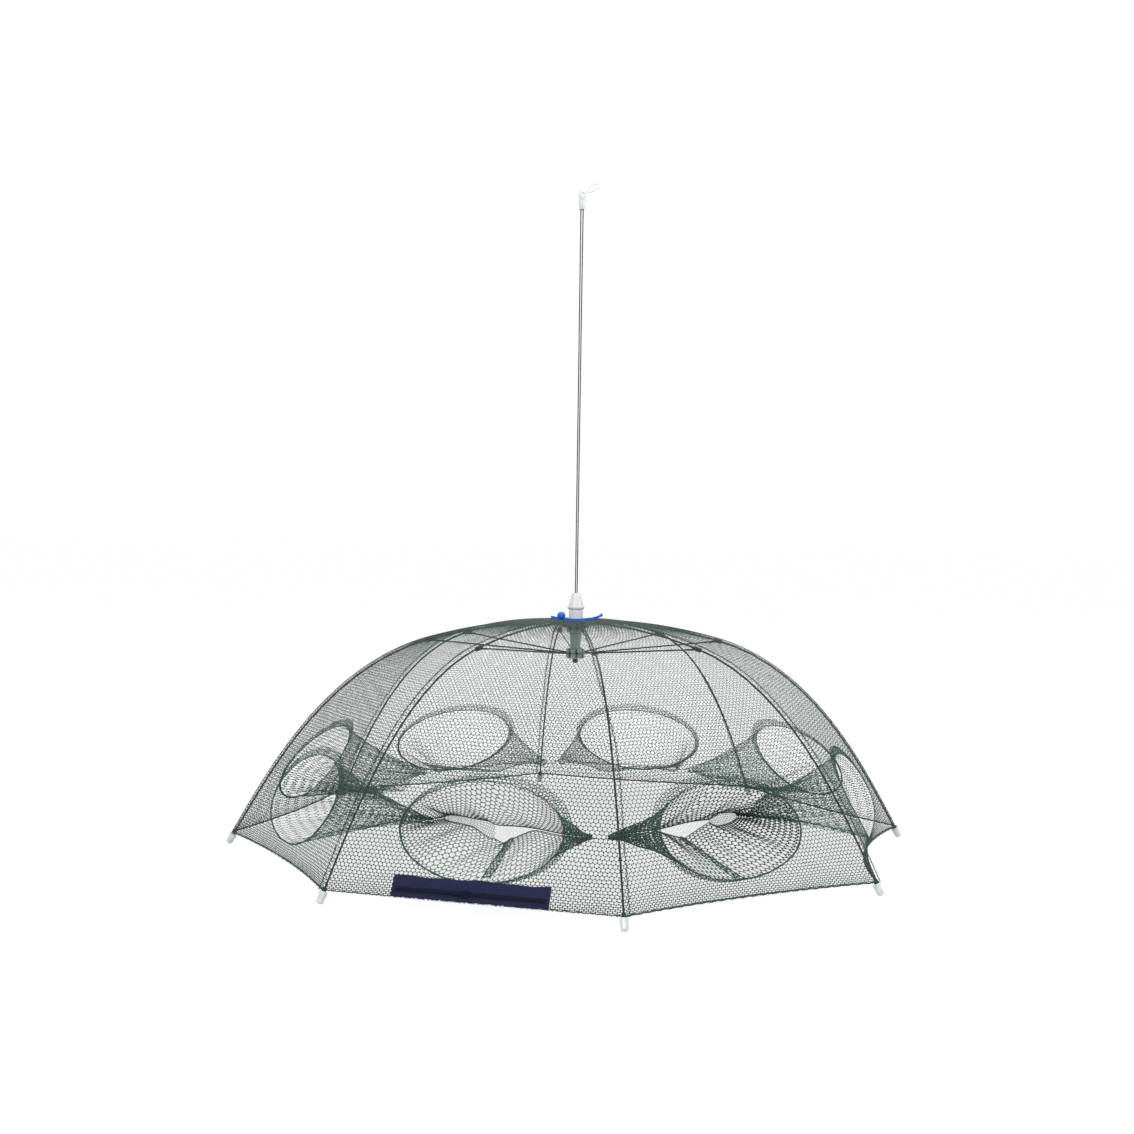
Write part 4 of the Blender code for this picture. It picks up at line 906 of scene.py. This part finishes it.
# Netting folded below the front lips, as (gore, side, how far along the lip, how deep)
LIP_FOLDS = ((7, 1, 0.85, 0.5), (0, -1, 0.75, 0.4))
LIP_FOLD_PITCH = 0.0024
LIP_FOLD_RIPPLE = 0.0012
LIP_FOLD_LIFT = 0.0010


def lip_folds():
    """Where a lower lip is gathered towards one end of its throat, a second layer lies below it."""
    for gore, side, along_lip, deep in LIP_FOLDS:
        rib = gore + 1 if side > 0 else gore

        def surface(x, y, gore=gore, side=side):
            turn = x / THROAT_HALF
            turn = turn if side > 0 else math.pi - turn
            ripple = LIP_FOLD_RIPPLE * np.sin(900 * x) + LIP_FOLD_LIFT
            return on_funnel(gore, turn, 1 - y / FUNNEL_DEEP) + ripple[..., None] * UP

        def inside(flat, along_lip=along_lip, deep=deep):
            turn = flat[:, 0] / THROAT_HALF
            hangs = deep * FUNNEL_DEEP * np.clip(1 - turn / along_lip, 0, 1) ** 0.7
            return np.min((flat[:, 0], flat[:, 1], hangs - flat[:, 1]), axis=0)

        folding_net(
            f"lip_fold_{gore + 1}", f"entrance_funnel_{gore + 1}", rib,
            surface, (0, along_lip * THROAT_HALF), (0, deep * FUNNEL_DEEP), inside,
            pitch=LIP_FOLD_PITCH, width=DOUBLED_THREAD_WIDTH, knots=False,
        )


FLOOR_THREAD_HEIGHT = 0.00013
FLOOR_BELOW_HEM = 0.0008
FLOOR_SAG = 0.004
# How much further in the floor's edge is at the ribs
FLOOR_CORNER_INSET = 0.004
FLOOR_FANS = 5
HEM_RADIUS, HEM_HEIGHT = net_over_rib(HEM_AT)
RIM_HEIGHT = HEM_HEIGHT - FLOOR_BELOW_HEM
HALF_SIDE = HEM_RADIUS * math.sin(RIB_STEP / 2)
TO_SIDE = HEM_RADIUS * math.cos(RIB_STEP / 2)
# How far in from its side a gore's fans part, at the gore's middle
FAN_CUTS = HALF_SIDE * np.sinh(
    np.arange(FLOOR_FANS + 1) / FLOOR_FANS * math.asinh(TO_SIDE / HALF_SIDE)
)


def past_cut(inward, side, cut):
    """How far places lie past the line from a rib's tip to a cut."""
    return (inward * HALF_SIDE - cut * (HALF_SIDE - np.abs(side))) / math.hypot(HALF_SIDE, cut)


def floor_fan(number, half, fan):
    """One fan of the floor, from a rib's tip towards the middle of the gore beside it."""
    out, along = facing(half / 2 + 0.25)
    gore = half // 2
    gore_out, gore_along = facing(gore + 0.5)
    start, end = FAN_CUTS[fan], FAN_CUTS[fan + 1]

    def surface(r, x):
        spot = r[:, None] * out + x[:, None] * along
        share = np.linalg.norm(spot, axis=1) / HEM_RADIUS
        return spot + (RIM_HEIGHT - FLOOR_SAG * np.clip(1 - share**2, 0, 1))[:, None] * UP

    def inside(flat):
        spot = flat[:, :1] * out + flat[:, 1:] * along
        inward = TO_SIDE - spot @ gore_out
        side = spot @ gore_along
        share = np.clip(side / HALF_SIDE, -1, 1)
        limits = [
            inward - drawn_in(gore, share, 1.0) - FLOOR_CORNER_INSET * share**2,
            flat[:, 0] * math.tan(RIB_STEP / 4) - np.abs(flat[:, 1]),
        ]
        if fan > 0:
            limits.append(past_cut(inward, side, start))
        if fan < FLOOR_FANS - 1:
            limits.append(-past_cut(inward, side, end))
        return np.min(limits, axis=0)

    piece = net_piece(
        f"floor_net_{half + 1}_{fan + 1}", surface, (0, HEM_RADIUS), (-0.1, 0.1), inside,
        height=FLOOR_THREAD_HEIGHT, knots=False,
    )
    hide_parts("net_floor")
    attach(piece, rib_name(number))
    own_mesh(piece)


def floor_net():
    """The floor, in fans that spread from each rib's tip and ride on that rib."""
    for half in range(2 * RIB_COUNT):
        for fan in range(FLOOR_FANS):
            floor_fan(half // 2 + half % 2, half, fan)


# Seams

SEAM_CROSSES_AT = 0.33
SEAM_CROSSES_OVER = 0.05
SEAM_TOP_AT = 0.045
SEAM_OFFSET = 0.0055
SEAM_RADIUS = 0.00055
STITCH_TOP_AT = 0.05
STITCH_PITCH = 0.0042
STITCH_SLANT = 0.0021
STITCH_HALF_WIDTH = 0.0016
STITCH_THREAD_WIDTH = 0.0006
STITCH_THREAD_HEIGHT = 0.0005
BINDING_HEIGHT = 0.0045
BINDING_TURNS = 5
BINDING_OVER_ROD = 0.0007


def seam_side(number, at):
    """Which side of its rod a rib's seam runs on. The front rib's crosses over part way down."""
    if number == 0:
        return np.clip((at - SEAM_CROSSES_AT) / SEAM_CROSSES_OVER, -1, 1)
    return np.full(len(at), 1.0 if number <= RIB_COUNT / 2 + 1 else -1.0)


def rib_seams():
    """The sewn edge beside each rod, with its stitches, and the binding above each cap."""
    for number in range(RIB_COUNT):
        out, along = facing(number)

        def beside(at, side, out=out, along=along):
            radius, height = net_over_rib(at)
            return radius[:, None] * out + side[:, None] * along + height[:, None] * UP

        at = np.linspace(SEAM_TOP_AT, HEM_AT, 320)
        side = SEAM_OFFSET * seam_side(number, at)
        side = side + 0.0007 * np.sin(at * 700) + 0.0006 * np.sin(at * 47 + number)
        seam = seam_tube(f"rib_seam_{number + 1}", beside(at, side), SEAM_RADIUS)
        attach(seam, rib_name(number))
        stitch = np.arange(STITCH_TOP_AT, HEM_AT - 0.004, STITCH_PITCH)
        here = SEAM_OFFSET * seam_side(number, stitch)
        starts = beside(stitch, here + STITCH_HALF_WIDTH)
        ends = beside(stitch + STITCH_SLANT, here - STITCH_HALF_WIDTH)
        stitches = thread_piece(
            f"rib_stitches_{number + 1}", starts, ends, out * 0.5 + UP,
            STITCH_THREAD_WIDTH, STITCH_THREAD_HEIGHT, seam_finish,
        )
        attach(stitches, rib_name(number))

        turns = np.linspace(0, BINDING_TURNS * math.tau, 90)
        rod_at = HEM_AT - BINDING_HEIGHT + BINDING_HEIGHT * turns / turns[-1]
        slope = np.interp(rod_at, ROD_AT, ROD_SLOPE)[:, None]
        radius, height = net_over_rib(rod_at, 0.0)
        across_rod = np.sin(slope) * -out + np.cos(slope) * UP
        round_rod = np.cos(turns)[:, None] * along + np.sin(turns)[:, None] * across_rod
        coil = radius[:, None] * out + height[:, None] * UP
        coil = coil + (ROD_RADIUS + BINDING_OVER_ROD) * round_rod
        binding = seam_tube(f"hem_binding_{number + 1}", coil, SEWN_CORD_RADIUS)
        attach(binding, rib_name(number))


# The more a hem is drawn in, the thicker its edge bunches
HEM_BUNCH_SHARE = 0.035


def hem_cords():
    """The cord along the edge where canopy and floor meet, in halves."""
    for gore, way, rib in gore_halves():
        across = np.linspace(0, way * half_width(HEM_AT), 60)
        at = HEM_AT - 0.0008 + 0.0005 * np.sin(across * 420 + gore)
        radius = SEWN_CORD_RADIUS + HEM_BUNCH_SHARE * HEM_SCALLOPS[gore]
        folding_cord(half_name("hem_cord", gore, way), on_gore(gore, across, at), radius, rib)


# Zip

ZIP_OVER_NET = 0.0016
ZIP_ROWS = 97
ZIP_COLUMNS = 15
ZIP_COIL_PITCH = 0.0013
ZIP_COIL_SLANT = 0.0007
ZIP_COIL_THREAD = 0.0009
ZIP_COIL_LIFT = 0.0006
# How far the coils and the stitching stop short of the tape's ends and the chain's edges
ZIP_COIL_END = 0.004
ZIP_COIL_MARGIN = 0.0004
ZIP_STITCH_END = 0.002
ZIP_STITCH_OFFSET = 0.0032
ZIP_STITCH_LIFT = 0.0003
ZIP_STITCH_RADIUS = 0.0005


def zip_place():
    """The middle of the zip on its gore, and its directions along, up and out."""
    at = HEM_AT - ZIP_ABOVE_HEM - ZIP_WIDTH / 2
    middle, left, right, above, below = on_gore(
        RIB_COUNT - 1, [0, -0.01, 0.01, 0, 0], [at, at, at, at - 0.01, at + 0.01]
    )
    along, up = unit(right - left), unit(above - below)
    out = np.cross(along, up)
    return middle + out * ZIP_OVER_NET, along, up, out


def sheet_faces(rows, columns):
    """Faces of a closed sheet of two layers, each of rows by columns of corners."""
    i, j = np.meshgrid(np.arange(rows - 1), np.arange(columns - 1), indexing="ij")
    a = (i * columns + j).ravel()
    quads = np.stack([a, a + columns, a + columns + 1, a + 1], axis=-1)
    count = rows * columns
    rim = [k * columns for k in range(rows)]
    rim += [(rows - 1) * columns + k for k in range(1, columns)]
    rim += [k * columns + columns - 1 for k in range(rows - 2, -1, -1)]
    rim += range(columns - 2, 0, -1)
    rim = np.array(rim)
    after = np.roll(rim, -1)
    walls = np.stack([rim + count, after + count, after, rim], axis=-1)
    quads = np.concatenate([quads, quads[:, ::-1] + count, walls])
    return np.concatenate([quads[:, [0, 1, 2]], quads[:, [0, 2, 3]]])


def zip_tape():
    """The woven tape, a little wavy along its upper edge, with the coils of its chain."""
    middle, along, up, out = zip_place()

    def placed(x, y, z):
        return middle + x[..., None] * along + y[..., None] * up + z[..., None] * out

    x, y = np.meshgrid(
        np.linspace(-0.5, 0.5, ZIP_ROWS) * ZIP_LENGTH, np.linspace(-0.5, 0.5, ZIP_COLUMNS),
        indexing="ij",
    )
    upper = np.clip(y + 0.5, 0, 1)
    y = y * ZIP_WIDTH + upper**3 * (0.0006 * np.sin(61 * x + 1) + 0.0004 * np.sin(147 * x))
    z = 0.0005 * upper**2 * np.sin(90 * x) + 0.0002 * np.sin(40 * x)
    near_chain = np.exp(-(((y + ZIP_CHAIN_DROP) / ZIP_CHAIN_WIDTH) ** 2))
    z = z * (1 - near_chain)
    layers = [placed(x, y, z + ZIP_TAPE_THICKNESS), placed(x, y, z)]
    corners = np.concatenate([layer.reshape(-1, 3) for layer in layers])
    mesh = mesh_from("zip tape", corners, sheet_faces(ZIP_ROWS, ZIP_COLUMNS))
    tape = add_piece("zip_tape_woven", mesh, (tape_finish,))

    tooth = np.arange(-ZIP_LENGTH / 2 + ZIP_COIL_END, ZIP_LENGTH / 2 - ZIP_COIL_END, ZIP_COIL_PITCH)
    low = np.full(len(tooth), -ZIP_CHAIN_DROP - ZIP_CHAIN_WIDTH / 2 + ZIP_COIL_MARGIN)
    rise = np.full(len(tooth), ZIP_TAPE_THICKNESS + ZIP_COIL_LIFT)
    starts = placed(tooth, low, rise)
    ends = placed(tooth + ZIP_COIL_SLANT, low + ZIP_CHAIN_WIDTH - 2 * ZIP_COIL_MARGIN, rise)
    coils = thread_piece(
        "zip_coils", starts, ends, out, ZIP_COIL_THREAD, ZIP_COIL_THREAD, chain_finish
    )

    at = np.linspace(-0.5, 0.5, 80) * (ZIP_LENGTH - 2 * ZIP_STITCH_END)
    on_tape = np.full(len(at), ZIP_TAPE_THICKNESS + ZIP_STITCH_LIFT)
    lines = []
    for name, offset in (("upper", ZIP_STITCH_OFFSET), ("lower", -ZIP_STITCH_OFFSET)):
        height = np.full(len(at), -(ZIP_CHAIN_DROP - offset)) + 0.0002 * np.sin(130 * at)
        line = placed(at, height, on_tape)
        lines.append(
            tube(f"zip_stitch_{name}", line, ZIP_STITCH_RADIUS, stitch_finish)
        )
    for piece in (tape, coils, *lines):
        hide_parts("zip_tape")
        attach(piece, "zip")
        tuple(along)
        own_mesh(piece)


# Pull cord

CORD_DIAMETER = 0.0016
# Half the gap between the strands, low down and at the ferrule, and where they begin to part
CORD_HALF_GAP = 0.00125
CORD_TOP_HALF_GAP = 0.0016
CORD_PARTS_Z = 0.35
CORD_POINTS = 180


def pull_cord():
    """The two strands that run from the knot under the runner to the ferrule."""
    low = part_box("pull_cord_left")[0][2]
    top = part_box("pull_cord_left")[1][2]
    for name, way in (("left", -1), ("right", 1)):
        curve = bpy.data.curves.new(f"cord_strand_{name}", "CURVE")
        curve.dimensions = "3D"
        curve.bevel_depth = CORD_DIAMETER / 2
        curve.bevel_resolution = 2
        curve.use_fill_caps = True
        line = curve.splines.new("POLY")
        line.points.add(CORD_POINTS - 1)
        for i, point in enumerate(line.points):
            height = mix(low, top, i / (CORD_POINTS - 1))
            opening = max(0.0, (height - CORD_PARTS_Z) / (top - CORD_PARTS_Z))
            side = way * mix(CORD_HALF_GAP, CORD_TOP_HALF_GAP, opening**3)
            point.co = (side, 0, height, 1)
        cord = add_piece(f"cord_strand_{name}", curve, (cord_finish,))
        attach(cord, "runner")
        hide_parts(f"pull_cord_{name}")


# Camera, floor and lights


def photo_camera():
    """The camera that the cap ends, brackets, crown and cord in the photo agree on."""
    distance = 2.0919
    tilt, roll, azimuth = math.radians(1.540), math.radians(-0.8586), math.radians(6.696)
    focal_pixels, image_width = 1480.1, 1134
    target_z, shift_right = 0.3875, -0.0136
    forward = Vector(
        (math.sin(azimuth) * math.cos(tilt), math.cos(azimuth) * math.cos(tilt), -math.sin(tilt))
    )
    right = Vector((math.cos(azimuth), -math.sin(azimuth), 0))
    up = right.cross(forward)
    target = Vector((0, 0, target_z)) + right * shift_right
    lens = bpy.data.cameras.new("photo camera")
    lens.sensor_width = 36
    lens.lens = focal_pixels / image_width * 36
    lens.clip_end = 60
    camera = add_object("photo camera", lens)
    turn = Matrix((right, up, -forward)).transposed().to_4x4()
    place = Matrix.Translation(target - forward * distance)
    camera.matrix_world = place @ turn @ Matrix.Rotation(-roll, 4, "Z")
    bpy.context.scene.camera = camera


WHITE = (1, 1, 1, 1)


def blend_shaders(nodes, links, share, low, high, surface):
    """Let a share of the high shader and the rest of the low one make up the surface."""
    blend = nodes.new("ShaderNodeMixShader")
    links.new(share, blend.inputs[0])
    links.new(low.outputs[0], blend.inputs[1])
    links.new(high.outputs[0], blend.inputs[2])
    links.new(blend.outputs[0], surface)


def seen_share(nodes, links):
    """A value that is 1 where the camera sees a surface, directly, in gloss or through glass."""
    path = nodes.new("ShaderNodeLightPath")
    value = path.outputs["Is Camera Ray"]
    for ray in ("Is Glossy Ray", "Is Transmission Ray"):
        either = math_node(nodes, "MAXIMUM")
        links.new(value, either.inputs[0])
        links.new(path.outputs[ray], either.inputs[1])
        value = either.outputs[0]
    return value


SKY_LIGHT = 0.45
FLOOR_UNDER_CAPS = 0.0005
# How bright the floor glows where it is seen, and the share of that in what the camera sees
FLOOR_GLOW = 1.06
FLOOR_GLOW_SHARE = 0.90
LAMPS = (
    ("front lamp", (-1.6, -2.4, 2.2), 60, 1.6),
    ("side lamp", (2.4, -1.2, 1.8), 35, 1.4),
    ("back lamp", (0.4, 2.4, 2.4), 40, 1.6),
)
LAMPS_AIM = Vector((0, 0, 0.2))


def studio():
    """A white floor and sky, and three soft lamps."""
    bpy.context.scene.view_settings.view_transform = "Standard"
    world = bpy.data.worlds.new("white studio")
    bpy.context.scene.world = world
    world.use_nodes = True
    nodes, links = world.node_tree.nodes, world.node_tree.links
    back = nodes["Background"]
    set_inputs(back, {"Color": WHITE, "Strength": SKY_LIGHT})
    seen = nodes.new("ShaderNodeBackground")
    set_inputs(seen, {"Color": WHITE, "Strength": 1.0})
    surface = nodes["World Output"].inputs["Surface"]
    blend_shaders(nodes, links, seen_share(nodes, links), back, seen, surface)

    floor_mesh = bpy.data.meshes.new("studio floor")
    reach = 50.0
    floor_corners = [(-reach, -reach, 0), (reach, -reach, 0), (reach, reach, 0), (-reach, reach, 0)]
    floor_mesh.from_pydata(floor_corners, [], [(0, 1, 2, 3)])
    floor = add_object("studio_floor", floor_mesh)
    floor.location.z = -FLOOR_UNDER_CAPS
    floor_finish = finish(
        "studio floor, white", (0.79, 0.79, 0.79), (0.81, 0.81, 0.81), 0.9, mottling=2.0, grain=0.01
    )
    nodes, links = floor_finish.node_tree.nodes, floor_finish.node_tree.links
    glow = nodes.new("ShaderNodeEmission")
    set_inputs(glow, {"Color": WHITE, "Strength": FLOOR_GLOW})
    share = math_node(nodes, "MULTIPLY")
    share.inputs[1].default_value = FLOOR_GLOW_SHARE
    links.new(seen_share(nodes, links), share.inputs[0])
    surface = nodes["Material Output"].inputs["Surface"]
    blend_shaders(nodes, links, share.outputs[0], nodes["Principled BSDF"], glow, surface)
    floor_mesh.materials.append(floor_finish)
    # the folded trap reaches below its feet's old place, so the floor sinks with the runner
    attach(floor, "runner")

    for name, place, power, size in LAMPS:
        lamp = bpy.data.lights.new(name, "AREA")
        lamp.energy = power
        lamp.size = size
        lit = add_object(name, lamp)
        lit.location = place
        lit.rotation_euler = (LAMPS_AIM - Vector(place)).to_track_quat("-Z", "Y").to_euler()


photo_camera()
pull_cord()
finish_nodes()
canopy_net()
crown_net()
ring_bands()
funnels()
throat_strings()
throat_panels()
pleats()
lip_folds()
floor_net()
rib_seams()
hem_cords()
zip_tape()
studio()
